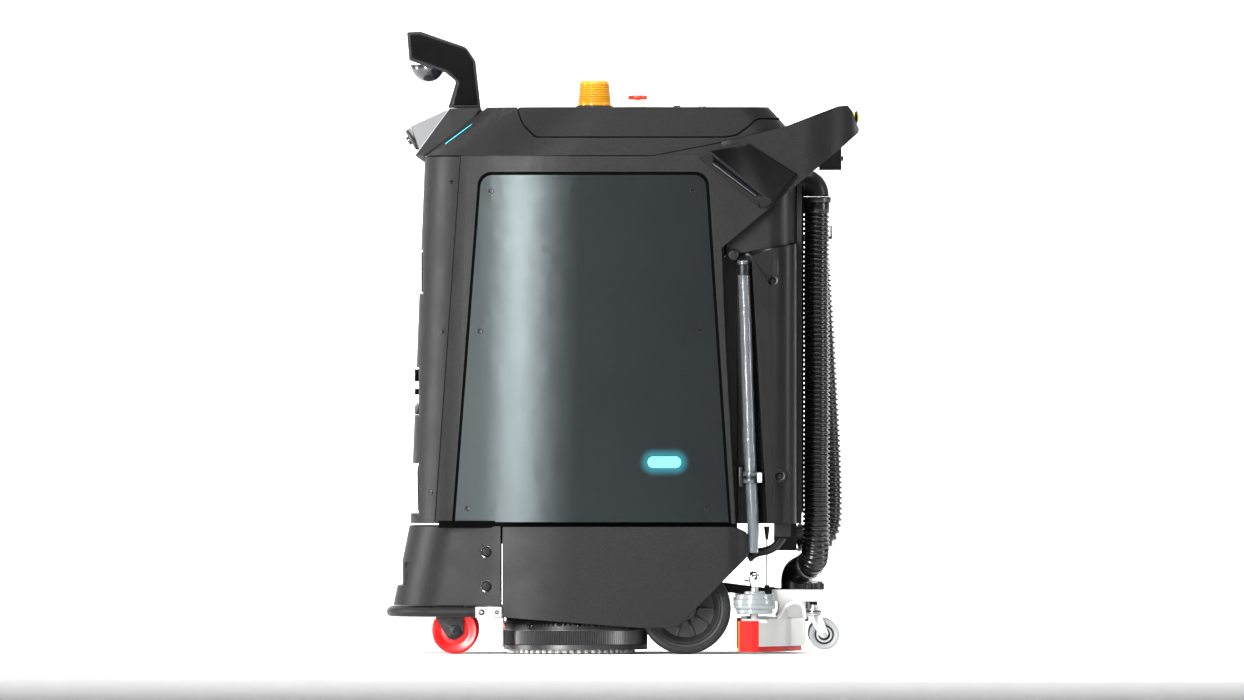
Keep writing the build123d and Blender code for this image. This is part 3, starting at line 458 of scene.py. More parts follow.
def body_of(node):
    """Name of the body that a CAD node rides on."""
    return nodes[node]["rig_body"]


print("mesh helpers ready")

# %% [markdown]
# ## The two free hoses
# The suction hose hangs from the fan's elbow to the squeegee's elbow, and the drain hose rises from the
# tank's outlet to its plug. Each follows a smooth spline through a few given points. The ribs are
# turned on a straight tube first, and then every vertex is carried onto the spline.

# %% Hose routes
SUCTION_ROUTE = [
    (388.3, -48.6, 184.2), (399.5, -69, 191), (404, -91, 208), (405.5, -106, 237), (406, -113, 285),
    (405, -116, 375), (406.5, -114, 545), (405, -116, 790), (406.5, -114, 895), (406, -115, 962),
]
DRAIN_ROUTE = [
    (379, 72, 246), (402, 75, 232), (424, 79, 240), (437, 84, 268), (439, 89, 322),
    (436, 93, 425), (427, 95, 590), (417, 95, 760), (411, 96, 850), (409, 95, 905),
]


def spline_points(name, route):
    """Points along the smooth spline that a route's points control."""
    curve = bpy.data.curves.new(name, "CURVE")
    curve.dimensions = "3D"
    curve.resolution_u = 24
    spline = curve.splines.new("NURBS")
    spline.points.add(len(route) - 1)
    for point, place in zip(spline.points, route):
        point.co = (*(Vector(place) * MM), 1)
    spline.order_u = 3
    spline.use_endpoint_u = True
    holder = bpy.data.objects.new(name, curve)
    bpy.context.scene.collection.objects.link(holder)
    bpy.context.view_layer.update()
    line = bpy.data.meshes.new_from_object(holder.evaluated_get(bpy.context.evaluated_depsgraph_get()))
    points = [v.co.copy() for v in line.vertices]
    bpy.data.objects.remove(holder)
    bpy.data.meshes.remove(line)
    return points


def line_length(points):
    return sum((b - a).length for a, b in zip(points, points[1:]))


def carry_frames(points):
    """A position, side and up vector at each point, turned as little as possible."""
    tangents = [(points[min(i + 1, len(points) - 1)] - points[max(i - 1, 0)]).normalized()
                for i in range(len(points))]
    side = tangents[0].orthogonal().normalized()
    frames = []
    for point, tangent in zip(points, tangents):
        side = (side - tangent * side.dot(tangent)).normalized()
        frames.append((point, side, tangent.cross(side)))
    return frames


def onto_line(bm, points):
    """Carry a straight tube, drawn up +Z from the origin, onto a line of points."""
    reach = [0.0]
    for a, b in zip(points, points[1:]):
        reach.append(reach[-1] + (b - a).length)
    frames = carry_frames(points)
    index = 0
    for vert in sorted(bm.verts, key=lambda v: v.co.z):
        x, y, z = vert.co
        while index < len(reach) - 2 and reach[index + 1] < z:
            index += 1
        span = reach[index + 1] - reach[index]
        t = (z - reach[index]) / span
        a, b = frames[index], frames[index + 1]
        vert.co = a[0].lerp(b[0], t) + a[1].lerp(b[1], t).normalized() * x + a[2].lerp(b[2], t).normalized() * y


def ribbed_hose(name, route, radius, pitch, depth, body, cuff=0.03):
    """A corrugated hose with a plain cuff at each end."""
    points = spline_points(name, route)
    length = line_length(points)
    ribs = int((length - 2 * cuff) / pitch)
    pitch = (length - 2 * cuff) / ribs
    profile = [(radius - depth * 0.5, 0.0), (radius - depth * 0.2, 0.001), (radius - depth * 0.2, cuff)]
    for i in range(ribs):
        start = cuff + i * pitch
        profile += [
            (radius - depth, start + pitch * 0.10), (radius - depth, start + pitch * 0.42),
            (radius - depth * 0.25, start + pitch * 0.54), (radius, start + pitch * 0.66),
            (radius, start + pitch * 0.82), (radius - depth * 0.25, start + pitch * 0.94),
        ]
    profile += [(radius - depth * 0.2, length - cuff), (radius - depth * 0.2, length - 0.001),
                (radius - depth * 0.5, length)]
    bm = bmesh.new()
    spin_profile(bm, profile, (0, 0, 0), (0, 0, 1), 40)
    bmesh.ops.remove_doubles(bm, verts=bm.verts, dist=1e-6)
    rims = [e for e in bm.edges if e.is_boundary]
    bmesh.ops.edgeloop_fill(bm, edges=rims)
    onto_line(bm, points)
    piece = settle(to_mesh(bm, name), name, hose_black, body, 60)
    print(name, "is", round(length, 3), "m long with", ribs, "ribs")
    return piece, points, length


suction, suction_line, suction_length = ribbed_hose(
    "suction_hose_ribbed", SUCTION_ROUTE, 0.0290, 0.0098, 0.0042, None)
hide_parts("suction_hose")
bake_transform(suction)
drain, drain_line, drain_length = ribbed_hose(
    "drain_hose_ribbed", DRAIN_ROUTE, 0.0250, 0.0108, 0.0044, "root")
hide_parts("drain_hose")

# %% [markdown]
# The drain hose ends in a screw plug. It is turned like the hose, with a stepped cap.

# %% Drain plug
plug_axis = (Vector(DRAIN_ROUTE[-1]) - Vector(DRAIN_ROUTE[-2])).normalized()
plug = turned("drain_plug_cap", [
    (0, -3), (22, -3), (23, 0), (23, 30), (24.5, 32), (26.5, 33), (27, 35), (27, 46), (25.5, 48.5), (0, 49)],
    Vector(DRAIN_ROUTE[-1]) * MM, plug_axis, black_satin, "root")
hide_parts("drain_plug")

# %% [markdown]
# ## Stage and light
# A pale floor sweeps up into a pale backdrop, which is clear from behind so that the machine can be seen from
# any side. Big soft lights stand in front of the machine's nose and over
# it, so the bend of the side panel picks up one broad highlight.

# %% Stage
def pale_stage():
    """Floor and backdrop in one curved sheet."""
    bm = bmesh.new()
    line = [(-50.0, 0.0), (5.0, 0.0)] + arc((5.0, 2.0), 2.0, -90, 0, 12)[1:] + [(7.0, 9.0)]
    verts = [bm.verts.new((-14, y, z)) for y, z in line]
    edges = [bm.edges.new(pair) for pair in zip(verts, verts[1:])]
    grown = bmesh.ops.extrude_edge_only(bm, edges=edges)["geom"]
    bmesh.ops.translate(bm, vec=(28, 0, 0), verts=[g for g in grown if isinstance(g, bmesh.types.BMVert)])
    bm.normal_update()
    bm.faces.ensure_lookup_table()
    if bm.faces[0].normal.z < 0:
        bmesh.ops.reverse_faces(bm, faces=bm.faces[:])
    made = bpy.data.meshes.new("pale_stage")
    bm.to_mesh(made)
    bm.free()
    made.shade_smooth()
    paint, tree, shader = new_material("pale_stage")
    tone = two_tones(tree, grain(tree, 3, 2), (0.93, 0.93, 0.93), (0.95, 0.95, 0.95))
    tree.links.new(tone, shader.inputs["Base Color"])
    shader.inputs["Roughness"].default_value = 0.9
    side = tree.nodes.new("ShaderNodeNewGeometry")
    clear = tree.nodes.new("ShaderNodeBsdfTransparent")
    either = tree.nodes.new("ShaderNodeMixShader")
    output = next(n for n in tree.nodes if n.type == "OUTPUT_MATERIAL")
    tree.links.new(side.outputs["Backfacing"], either.inputs[0])
    tree.links.new(shader.outputs[0], either.inputs[1])
    tree.links.new(clear.outputs[0], either.inputs[2])
    tree.links.new(either.outputs[0], output.inputs["Surface"])
    made.materials.append(paint)
    sheet = bpy.data.objects.new("pale_stage", made)
    bpy.context.scene.collection.objects.link(sheet)


def soft_light(name, place, target, size, power, tint=(1, 1, 1)):
    """A rectangular softbox."""
    data = bpy.data.lights.new(name, "AREA")
    data.shape = "RECTANGLE"
    data.size, data.size_y = size
    data.energy = power
    data.color = tint
    lamp = bpy.data.objects.new(name, data)
    lamp.location = place
    lamp.rotation_euler = (Vector(target) - Vector(place)).to_track_quat("-Z", "Y").to_euler()
    bpy.context.scene.collection.objects.link(lamp)


pale_stage()
world = bpy.data.worlds.new("studio")
bpy.context.scene.world = world
world.use_nodes = True
world.node_tree.nodes["Background"].inputs[0].default_value = (1, 1, 1, 1)
world.node_tree.nodes["Background"].inputs[1].default_value = 0.2
soft_light("panel_softbox", (-1.72, -4.2, 0.9), (-0.2, 0, 0.7), (0.4, 3.2), 600)
soft_light("nose_softbox", (-5.0, -0.4, 1.3), (-0.3, 0, 0.7), (1.6, 3.0), 420)
soft_light("top_softbox", (0.0, -0.7, 4.4), (0, 0, 0.6), (3.2, 2.0), 190)
soft_light("front_fill", (0.4, -6.5, 4.2), (0, 0, 0.7), (4.0, 1.2), 100)
soft_light("rear_softbox", (4.6, -1.6, 1.6), (0.3, 0, 0.7), (0.5, 2.8), 110)
soft_light("backdrop_light", (0, 1.6, 4.5), (0, 6.5, 0.8), (9.0, 2.0), 760)
print("stage and lights ready")

# %% [markdown]
# ## Casings
# Each moulded casing is the CAD shell itself, merged and shaded smooth, with a grained plastic whose edges
# are rounded in the shading. The same is done for the parts inside, so the machine is complete when its
# covers are lifted.

# %% Skins over the CAD shells
SKINS = {
    "side_shell_left": casing, "side_shell_right": casing, "push_handle": casing, "top_shell": casing,
    "nose_cover": casing, "front_skirt": casing, "side_skirt_left": casing, "side_skirt_right": casing,
    "lid": lid_plastic, "head_housing": casing_smooth, "sensor_arm": casing_smooth,
    "side_pods": pod_satin, "head_camera": camera_grey, "side_panel_left": panel_metal,
    "side_panel_right": panel_metal, "led_lenses": cyan_lamp, "recovery_tank": casing_smooth,
    "vacuum_motor": black_satin, "solution_tank": tank_black, "battery_pack": casing_smooth,
    "control_unit": casing_smooth, "drive_motors": black_satin, "chassis_frame": black_satin,
    "bumper_clamps": light_grey, "rear_control_box": black_satin, "plumbing": black_satin,
    "bumper_bar": bumper_rubber, "caster_fork_left": black_satin, "caster_fork_right": black_satin,
    "brush_deck": black_satin, "squeegee_arm": black_satin, "squeegee_frame": white_coat,
    "suction_port": black_satin, "squeegee_fork_left": white_coat, "squeegee_fork_right": white_coat,
}
skins = {node: skin(node, material) for node, material in SKINS.items()}
for side in ("left", "right"):
    repaint(skins[f"squeegee_fork_{side}"], black_satin, lambda spot: spot.z > 0.1312 or 0.0865 < spot.z < 0.1108)
repaint(skins["squeegee_frame"], chrome, lambda spot: spot.z > 0.1405 and abs(spot.y) > 0.3)
repaint(skins["head_camera"], black_satin, lambda spot: spot.x < -0.4585 or spot.z < 1.079)
print("skinned", len(skins), "nodes")

# %% [markdown]
# Seams and gaskets have to follow the curved sides. A ray cast against the casings finds where the surface
# is at any height and length, on the left side; the right side is its mirror image.

# %% Find the casing surface
from mathutils.bvhtree import BVHTree


def casing_surface():
    gathered = bmesh.new()
    for node in ("side_shell_left", "side_panel_left", "nose_cover", "top_shell", "lid", "side_skirt_left",
                 "front_skirt"):
        gathered.from_mesh(nodes[node].data)
    return BVHTree.FromBMesh(gathered)


surface = casing_surface()


def shell_hit(x, z):
    """Height over the middle plane, and the outward normal, of the left casing (metres)."""
    place, normal, _, _ = surface.ray_cast(Vector((x, -1, z)), Vector((0, 1, 0)), 0.85)
    if place is None or place.y > -0.12:
        return None
    return place.y, normal if normal.y < 0 else -normal


def rounded(points, radii, step=6):
    """Round the corners of a chain of (x, z) points."""
    line = []
    for i, (point, radius) in enumerate(zip(points, radii)):
        here = Vector(point)
        if not radius or i in (0, len(points) - 1):
            line.append(here)
            continue
        back, ahead = (Vector(points[i - 1]) - here).normalized(), (Vector(points[i + 1]) - here).normalized()
        half = back.angle(ahead) / 2
        reach = radius / math.tan(half)
        middle = here + (back + ahead).normalized() * (radius / math.sin(half))
        first, last = here + back * reach - middle, here + ahead * reach - middle
        begin = math.atan2(first.y, first.x)
        turn = (math.atan2(last.y, last.x) - begin + math.pi) % math.tau - math.pi
        line += [middle + radius * Vector((math.cos(begin + turn * k / step), math.sin(begin + turn * k / step)))
                 for k in range(step + 1)]
    return line


def walk(line, step=9.0):
    """Points no further apart than a step, with the normal of the line at each."""
    dense = [line[0]]
    for a, b in zip(line, line[1:]):
        count = max(1, math.ceil((b - a).length / step))
        dense += [a.lerp(b, k / count) for k in range(1, count + 1)]
    found = []
    for i, point in enumerate(dense):
        along = (dense[min(i + 1, len(dense) - 1)] - dense[max(i - 1, 0)]).normalized()
        found.append((point, Vector((-along.y, along.x))))
    return found


def hug(name, line, width, sink, depth, material, body, probe=1.6):
    """A strip that follows the casing on both sides: width and depths in millimetres."""
    bm = bmesh.new()
    for side in (LEFT, RIGHT):
        last, rows = None, []
        for point, normal in walk(line):
            ends = []
            for sign in (-1, 1):
                reach = point + normal * sign * (width / 2 + probe)
                edge = point + normal * sign * width / 2
                found = shell_hit(reach.x * MM, reach.y * MM)
                y = found[0] if found else None
                ends.append([edge, y])
            known = [y for _, y in ends if y is not None] or ([last] if last is not None else [])
            if not known:
                continue
            last = min(known)
            row = []
            for edge, y in ends:
                y = last if y is None else y
                row.append(bm.verts.new((edge.x * MM, -side * (y + sink * MM), edge.y * MM)))
            rows.append(row)
        faces = [bm.faces.new((a[0], a[1], b[1], b[0])) for a, b in zip(rows, rows[1:])]
        grown = bmesh.ops.extrude_face_region(bm, geom=faces)["geom"]
        inner = [g for g in grown if isinstance(g, bmesh.types.BMVert)]
        bmesh.ops.translate(bm, vec=(0, -side * depth * MM, 0), verts=inner)
    return settle(to_mesh(bm, name), name, material, body, 50)


print("casing surface ready")

# %% [markdown]
# ## Seams, gaskets and screws
# A black rubber gasket lies in the gap round each side panel and under the lid's edge. Thinner dark lines
# mark where two casings meet. The socket screws sit square to the curved surface.

# %% Gaskets and seams
panel_ring = rounded([(-357.5, 276), (-301.4, 1010.2), (175, 1010.2), (223.8, 276)], [0, 27, 27, 0])
hug("panel_gasket", panel_ring, 7.4, 1.3, 3.0, gasket_black, "root")
lid_edge = rounded([(-221.5, 1146), (-219.5, 1138), (-211, 1113), (-184.5, 1086.7), (213.5, 1086.7),
                    (237, 1090.6), (261, 1107.6), (281, 1125), (328, 1125)], [0, 0, 38, 20, 20, 20, 10, 20, 0])
hug("lid_gasket", lid_edge, 4.6, 0.9, 3.0, gasket_black, "root")
nose_seam = [Vector(p) for p in ((-396.7, 277), (-342.9, 1045))]
hug("nose_seam", nose_seam, 1.9, -0.15, 1.0, gasket_black, "root", 0.8)
shoulder_seam = rounded([(-340, 1047.6), (62, 1047.6), (206, 1075.4)], [0, 60, 0])
hug("shoulder_seam", shoulder_seam, 1.9, -0.15, 1.0, gasket_black, "root", 0.8)
boxes("recess_seal", [((188, -246, 837), (215.4, -241, 866)), ((188, 241, 837), (215.4, 246, 866)),
                      ((216, -246, 834.4), (239, -241, 838.6)), ((216, 241, 834.4), (239, 246, 838.6))],
      gasket_black, "root", 0.0004)
for side in (LEFT, RIGHT):
    low, high = sorted((side * 246, side * 262))
    side_plate(f"tank_seal_{side_name(side)}", [(241, 838), (358, 858.4), (358, 865), (241, 844.6)], low, high,
               gasket_black, "root", 0.0004, 1)
boxes("rail_strips", [((375.1, -234, 300), (379, -203, 985)), ((375.1, 203, 300), (379, 234, 985))],
      gasket_black, "root", 0.0008)
boxes("sill_seal", [((-388, -299, 266), (228, -295, 281)), ((-388, 295, 266), (228, 299, 281))],
      gasket_black, "root", 0.0008)
print("seams laid")


# %% Socket screws
def add_screw(bm, place, normal, radius, hexagon=True):
    """A low round head with a hexagon socket, standing on a surface."""
    r = radius
    head = [(0, -2.2), (r * 0.9, -2.2), (r, -0.5), (r, 0.25), (r * 0.86, 0.75), (r * 0.52, 0.85)]
    spin_profile(bm, [(a * MM, h * MM) for a, h in head], place, normal, 20)
    socket = [(r * 0.52, 0.85), (r * 0.46, -0.9), (0, -1.0)]
    spin_profile(bm, [(a * MM, h * MM) for a, h in socket], place, normal, 6 if hexagon else 20)


PANEL_SCREWS = [(-278, 973), (144, 973), (-301, 679), (161.5, 679), (-327, 307), (174.5, 307)]
NOSE_SCREWS = [(-361, 992.5), (-381, 678), (-404, 340)]


def screw_set(name, places, radius, node=None, rise=0.2):
    bm = bmesh.new()
    for x, z in places:
        hits = [shell_hit((x + dx) * MM, (z + dz) * MM) for dx, dz in ((8, 0), (-8, 0), (0, 8), (0, -8))]
        hits = [h for h in hits if h]
        y = sum(h[0] for h in hits) / len(hits)
        normal = sum((h[1] for h in hits), Vector()).normalized()
        for side in (LEFT, RIGHT):
            place = Vector((x * MM, -side * y, z * MM))
            facing = Vector((normal.x, -side * normal.y, normal.z))
            add_screw(bm, place + facing * rise * MM, facing, radius)
    piece = settle(to_mesh(bm, name), name, screw_metal, "root")
    if node:
        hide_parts(node)
    return piece


screw_set("casing_screws", PANEL_SCREWS, 5.0, "screws")
screw_set("nose_screws", NOSE_SCREWS, 4.0)
print("screws set")

# %% [markdown]
# ## Clear level tube
# A clear vinyl tube shows how full the clean water tank is. It is a thin-walled tube with a column of water
# inside, carried onto a line down the recess behind the side casing.

# %% Level tube and water
LEVEL_ROUTE = [(251.4, -284, 827.8), (256, -284, 730), (261, -284, 560), (266.5, -284, 400),
               (272, -282, 300), (272.5, -279, 258), (272, -276, 236), (271, -273, 214.5)]


def bent(name, route, profile, material, body, steps=32, rings=60):
    """Turn a profile given in millimetres along a spline through a route."""
    points = spline_points(name + "_line", route)
    bm = bmesh.new()
    dense = []
    for (r0, h0), (r1, h1) in zip(profile, profile[1:]):
        count = max(1, round(abs(h1 - h0) / 10))
        dense += [(r0 + (r1 - r0) * k / count, h0 + (h1 - h0) * k / count) for k in range(count)]
    dense.append(profile[-1])
    spin_profile(bm, [(r * MM, h * MM) for r, h in dense], (0, 0, 0), (0, 0, 1), steps)
    onto_line(bm, points)
    return settle(to_mesh(bm, name), name, material, body, 40)


LEVEL_LONG = line_length(spline_points("level_line", LEVEL_ROUTE)) / MM
wall = bent("level_tube_wall", LEVEL_ROUTE, [
    (10.2, 0.5), (12.4, 0.5), (12.4, LEVEL_LONG - 0.5), (10.2, LEVEL_LONG - 0.5), (10.2, 0.5)],
    clear_vinyl, body_of("level_tube"))
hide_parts("level_tube")
bent("level_tube_water", LEVEL_ROUTE, [
    (0, 366), (9.9, 364.5), (10.0, 366.5), (10.0, LEVEL_LONG - 1.5), (0, LEVEL_LONG - 1.5)],
    water, body_of("level_tube"))
print("level tube is", round(LEVEL_LONG), "mm long")

# %% [markdown]
# Black fittings close the tube at both ends. A pale clip holds it two thirds of the way down.

# %% Level tube fittings
turned("level_hub", [(0, -9), (9, -9), (11.6, -7), (11.6, 4), (8.5, 6.5), (4, 6.8), (3.4, 4.5), (0, 4.5)],
       (0.230, -0.292, 0.8396), (0, -1, 0), black_satin, "root", 40)
turned("level_nut_top", [(12.6, -12), (14.4, -11), (14.8, -9), (14.8, 9), (14.4, 11), (12.6, 12), (12.6, -12)],
       (0.2522, -0.284, 0.808), (0, 0, 1), black_satin, "root", 12, 40)
turned("level_clip", [(12.7, -12), (17.6, -12), (18.2, -10), (18.2, -4), (17.2, -3), (17.2, 3), (18.2, 4),
                      (18.2, 10), (17.6, 12), (12.7, 12), (12.7, -12)],
       (0.2676, -0.284, 0.3715), (0.02, 0, 1), clear_vinyl, "root", 40)
boxes("level_clip_pad", [((242, -295, 352), (251, -273, 394))], black_satin, "root", 0.0015)
boxes("level_clip_tab", [((281, -303, 361), (291, -284, 382))], white_coat, "root", 0.0015)
print("fittings ready")

# %% [markdown]
# ## Wheels
# The two front casters have bright red polyurethane tyres. The drive wheels are larger, with a ribbed
# rubber tyre round a dished rim. Each wheel is turned about its axle, so it looks right at any angle it
# rolls to.

# %% Front casters
def add_ring_of(bm, make, centre, axis, count, radius, start=0.0):
    """Repeat a small shape round an axis; make(bm) draws it at the origin, facing +X."""
    turn = axis_matrix(axis)
    for k in range(count):
        angle = start + math.tau * k / count
        verts = make(bm)
        spot = Matrix.Rotation(angle, 4, "Z") @ Matrix.Translation((radius, 0, 0))
        bmesh.ops.transform(bm, matrix=Matrix.Translation(centre) @ turn.to_4x4() @ spot, verts=verts)


def stud(radius, low, high, sides=6):
    """A maker of short bolts along +Z, sizes in millimetres."""
    def make(bm):
        made = bmesh.ops.create_cone(
            bm, cap_ends=True, segments=sides, radius1=radius * MM, radius2=radius * 0.9 * MM,
            depth=(high - low) * MM)["verts"]
        bmesh.ops.translate(bm, vec=(0, 0, (low + high) / 2 * MM), verts=made)
        return made
    return make


def front_caster(side):
    name, centre, axis = side_name(side), Vector((-0.354, side * 0.190, 0.0493)), (0, side, 0)
    tyre = turned(f"caster_tyre_{name}", [
        (29, -12.6), (34, -13.6), (39, -15.4), (44, -16), (47.4, -13.5), (49.1, -8), (49.3, -4), (49.3, 4),
        (49.1, 8), (47.4, 13.5), (44, 16), (39, 15.4), (34, 13.6), (29, 12.6), (29, -12.6)],
        centre, axis, wheel_red, f"caster_wheel_{name}", 96)
    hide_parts(f"caster_wheel_{name}")
    turned(f"caster_core_{name}", [
        (6.3, -19), (11, -19), (12.5, -17), (13, -14), (29.2, -12.4), (29.2, 12.4), (13, 14),
        (12.5, 17), (11, 19), (6.3, 19), (6.3, -19)], centre, axis, wheel_red, f"caster_wheel_{name}", 64)
    turned(f"caster_axle_cap_{name}", [
        (0, 24.05), (11.6, 24.05), (11.6, 25.4), (10.6, 26.4), (6, 26.9), (0, 27)],
        centre, axis, black_satin, f"caster_{name}", 40)
    bm = bmesh.new()
    add_ring_of(bm, stud(5.2, 26.8, 29.5), centre, axis, 1, 0)
    settle(to_mesh(bm, f"caster_axle_nut_{name}"), f"caster_axle_nut_{name}", screw_metal, f"caster_{name}")
    turned(f"caster_race_{name}", [
        (24.2, 107), (26.5, 108), (27.5, 110), (27.5, 113), (26.5, 115), (24.2, 116), (24.2, 107)],
        (-0.367, side * 0.190, 0), (0, 0, 1), steel, f"caster_{name}", 64)


for side in (LEFT, RIGHT):
    front_caster(side)
print("front casters turned")


# %% Drive wheels
def groove(at, top=96.0):
    """Profile points of a shallow groove in a tyre's tread."""
    return [(top, at - 1.3), (top - 1.8, at - 0.8), (top - 1.8, at + 0.8), (top, at + 1.3)]


def drive_wheel(side):
    name, centre, axis = side_name(side), Vector((0.130, side * 0.251, 0.096)), (0, side, 0)
    body = f"drive_wheel_{name}"
    tread = [(74, -19), (78, -21.5), (88, -22), (93.5, -20), (95.6, -16)]
    for at in (-10, -3.5, 3.5, 10):
        tread += groove(at)
    tread += [(95.6, 16), (93.5, 20), (89, 22), (84.5, 22), (83.5, 20.4), (81.5, 20.4), (80.5, 21.6),
              (76, 21), (74, 19), (74, -19)]
    tyre = turned(f"drive_tyre_{name}", tread, centre, axis, tyre_black, body, 128)
    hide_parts(body)
    turned(f"drive_rim_{name}", [
        (10.6, -18), (30, -18), (34, -14), (66, -14), (70, -18), (74.1, -18), (74.1, 19.5), (72.5, 20.6),
        (70, 19.5), (66, 14), (60, 9.5), (30, 9.5), (25, 12), (24, 18), (21.5, 19.5), (10.6, 19.5),
        (10.6, -18)], centre, axis, rim_grey, body, 80)
    bm = bmesh.new()

    def web(bm):
        return add_box(bm, (-0.017, -0.0035, 0.0085), (0.017, 0.0035, 0.0155), 0.0015)

    add_ring_of(bm, web, centre, axis, 10, 0.043)
    settle(to_mesh(bm, f"drive_webs_{name}"), f"drive_webs_{name}", rim_grey, body)
    bm = bmesh.new()
    add_ring_of(bm, stud(3.2, 18.5, 21.8), centre, axis, 5, 0.0172)
    settle(to_mesh(bm, f"drive_nuts_{name}"), f"drive_nuts_{name}", screw_metal, body)
    turned(f"drive_cap_{name}", [(0, 19), (9.8, 19), (9.8, 21.4), (8, 22.6), (0, 22.8)],
           centre, axis, black_satin, body, 40)


for side in (LEFT, RIGHT):
    drive_wheel(side)
print("drive wheels turned")

# %% [markdown]
# ## Brushes and their curtain
# Each disc brush is a plastic block with rings of stiff tufts that flare a little at the floor. A ribbed
# curtain round the deck keeps the water in.

# %% Disc brushes
def tuft(lean, height, thick):
    """A maker of one flared bristle tuft that hangs down from the origin."""
    def make(bm):
        made = bmesh.ops.create_cone(
            bm, cap_ends=True, segments=7, radius1=thick * 1.35 * MM, radius2=thick * MM, depth=height * MM)["verts"]
        bmesh.ops.translate(bm, vec=(0, 0, -height / 2 * MM), verts=made)
        bmesh.ops.rotate(bm, cent=(0, 0, 0), matrix=Matrix.Rotation(-lean, 3, "Y"), verts=made)
        return made
    return make


bristle = moulded("bristle_fibre", (0.78, 0.78, 0.75), 0.6, 0.0009, 0.0004, 0.35, 0)
curtain_black = moulded("curtain_rubber", (0.016, 0.016, 0.0165), 0.36, 0.0012, 0.00005, 0.1, 0, gleam=0.4)
disc_plastic = moulded("disc_plastic", (0.03, 0.03, 0.032), 0.45, 0.002, 0.0001, 0.15)


def disc_brush(side):
    name, centre = side_name(side), Vector((-0.1097, side * 0.140, 0))
    body = f"brush_{name}"
    disc = turned(f"brush_disc_{name}", [
        (8.6, 34), (60, 32), (126, 32), (129, 34), (129, 41), (126, 44), (118, 44), (116, 41), (60, 41),
        (56, 44), (8.6, 44), (8.6, 34)], centre, (0, 0, 1), disc_plastic, body, 80)
    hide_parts(body)
    bm = bmesh.new()
    for radius, count in ((0.070, 30), (0.084, 36), (0.098, 42), (0.112, 48), (0.124, 54)):
        lean = math.radians(12 if radius > 0.12 else 4)
        add_ring_of(bm, tuft(lean, 31.5 / math.cos(lean), 3.1), centre + Vector((0, 0, 0.0335)), (0, 0, 1),
                    count, radius, radius * 9)
    settle(to_mesh(bm, f"brush_tufts_{name}", False), f"brush_tufts_{name}", bristle, body, 50)


for side in (LEFT, RIGHT):
    disc_brush(side)


# %% Curtain round the brushes
def stadium(inset, step=5.0):
    """Evenly spaced points and outward normals round the deck's plan, in millimetres."""
    x0, x1, y1, corner = -253 + inset, 52 - inset, 303 - inset, 145 - inset
    centres = [(x1 - corner, y1 - corner, 0), (x0 + corner, y1 - corner, 90),
               (x0 + corner, -y1 + corner, 180), (x1 - corner, -y1 + corner, 270)]
    line = []
    for cx, cy, start in centres:
        line += [Vector(p) for p in arc((cx, cy), corner, start, start + 90, 24)]
    line.append(line[0])
    spots, carry = [], 0.0
    for a, b in zip(line, line[1:]):
        span = (b - a).length
        while span > 0 and carry < span:
            along = (b - a) / span
            spots.append((a + along * carry, Vector((along.y, -along.x))))
            carry += step
        carry -= span
    return spots


def curtain():
    """Thin ribbed rubber wall: one rib and one valley in turn round the deck."""
    bm = bmesh.new()
    spots = stadium(1.2, 2.5)
    levels = [(52.2, 0.0), (50, 0.0), (49.3, 1.0), (21, 1.0), (19.6, 0.2), (18.8, 0.0), (9.8, 0.0)]
    rows = []
    for k, (spot, out) in enumerate(spots):
        rib = 1.0 if k % 2 else 0.0
        row = []
        for z, share in levels:
            place = spot - out * (2.6 * rib * share)
            row.append(bm.verts.new((place.x * MM, place.y * MM, z * MM)))
        rows.append(row)
    faces = []
    for a, b in zip(rows, rows[1:] + rows[:1]):
        for k in range(len(levels) - 1):
            faces.append(bm.faces.new((a[k], a[k + 1], b[k + 1], b[k])))
    bmesh.ops.recalc_face_normals(bm, faces=bm.faces)
    bmesh.ops.solidify(bm, geom=faces, thickness=0.004)
    piece = settle(to_mesh(bm, "brush_curtain"), "brush_curtain", curtain_black, "deck", 25)
    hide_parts("brush_skirt")


curtain()
bm = bmesh.new()
for x in (-195.5, -93.5, 9.5):
    for side in (LEFT, RIGHT):
        edge = 303.0 if x > -108 and x < -93 else 303 - (145 - math.sqrt(145 ** 2 - (abs(x + 100.5) - 7.5) ** 2))
        place = Vector((x * MM, side * edge * MM, 0.059))
        add_screw(bm, place, Vector(((x + 100.5) * 0.006, side, 0)).normalized(), 5.2)
settle(to_mesh(bm, "band_bolts"), "band_bolts", screw_metal, "deck")
print("brushes and curtain ready")

# %% [markdown]
# ## Bumper, clamps and skirt bolts
# A gloss black tube runs round the nose. Grey sleeves hold its ends, and a hanging plate below carries a
# small red marker. The skirt's round holes show dished washers with socket bolts.

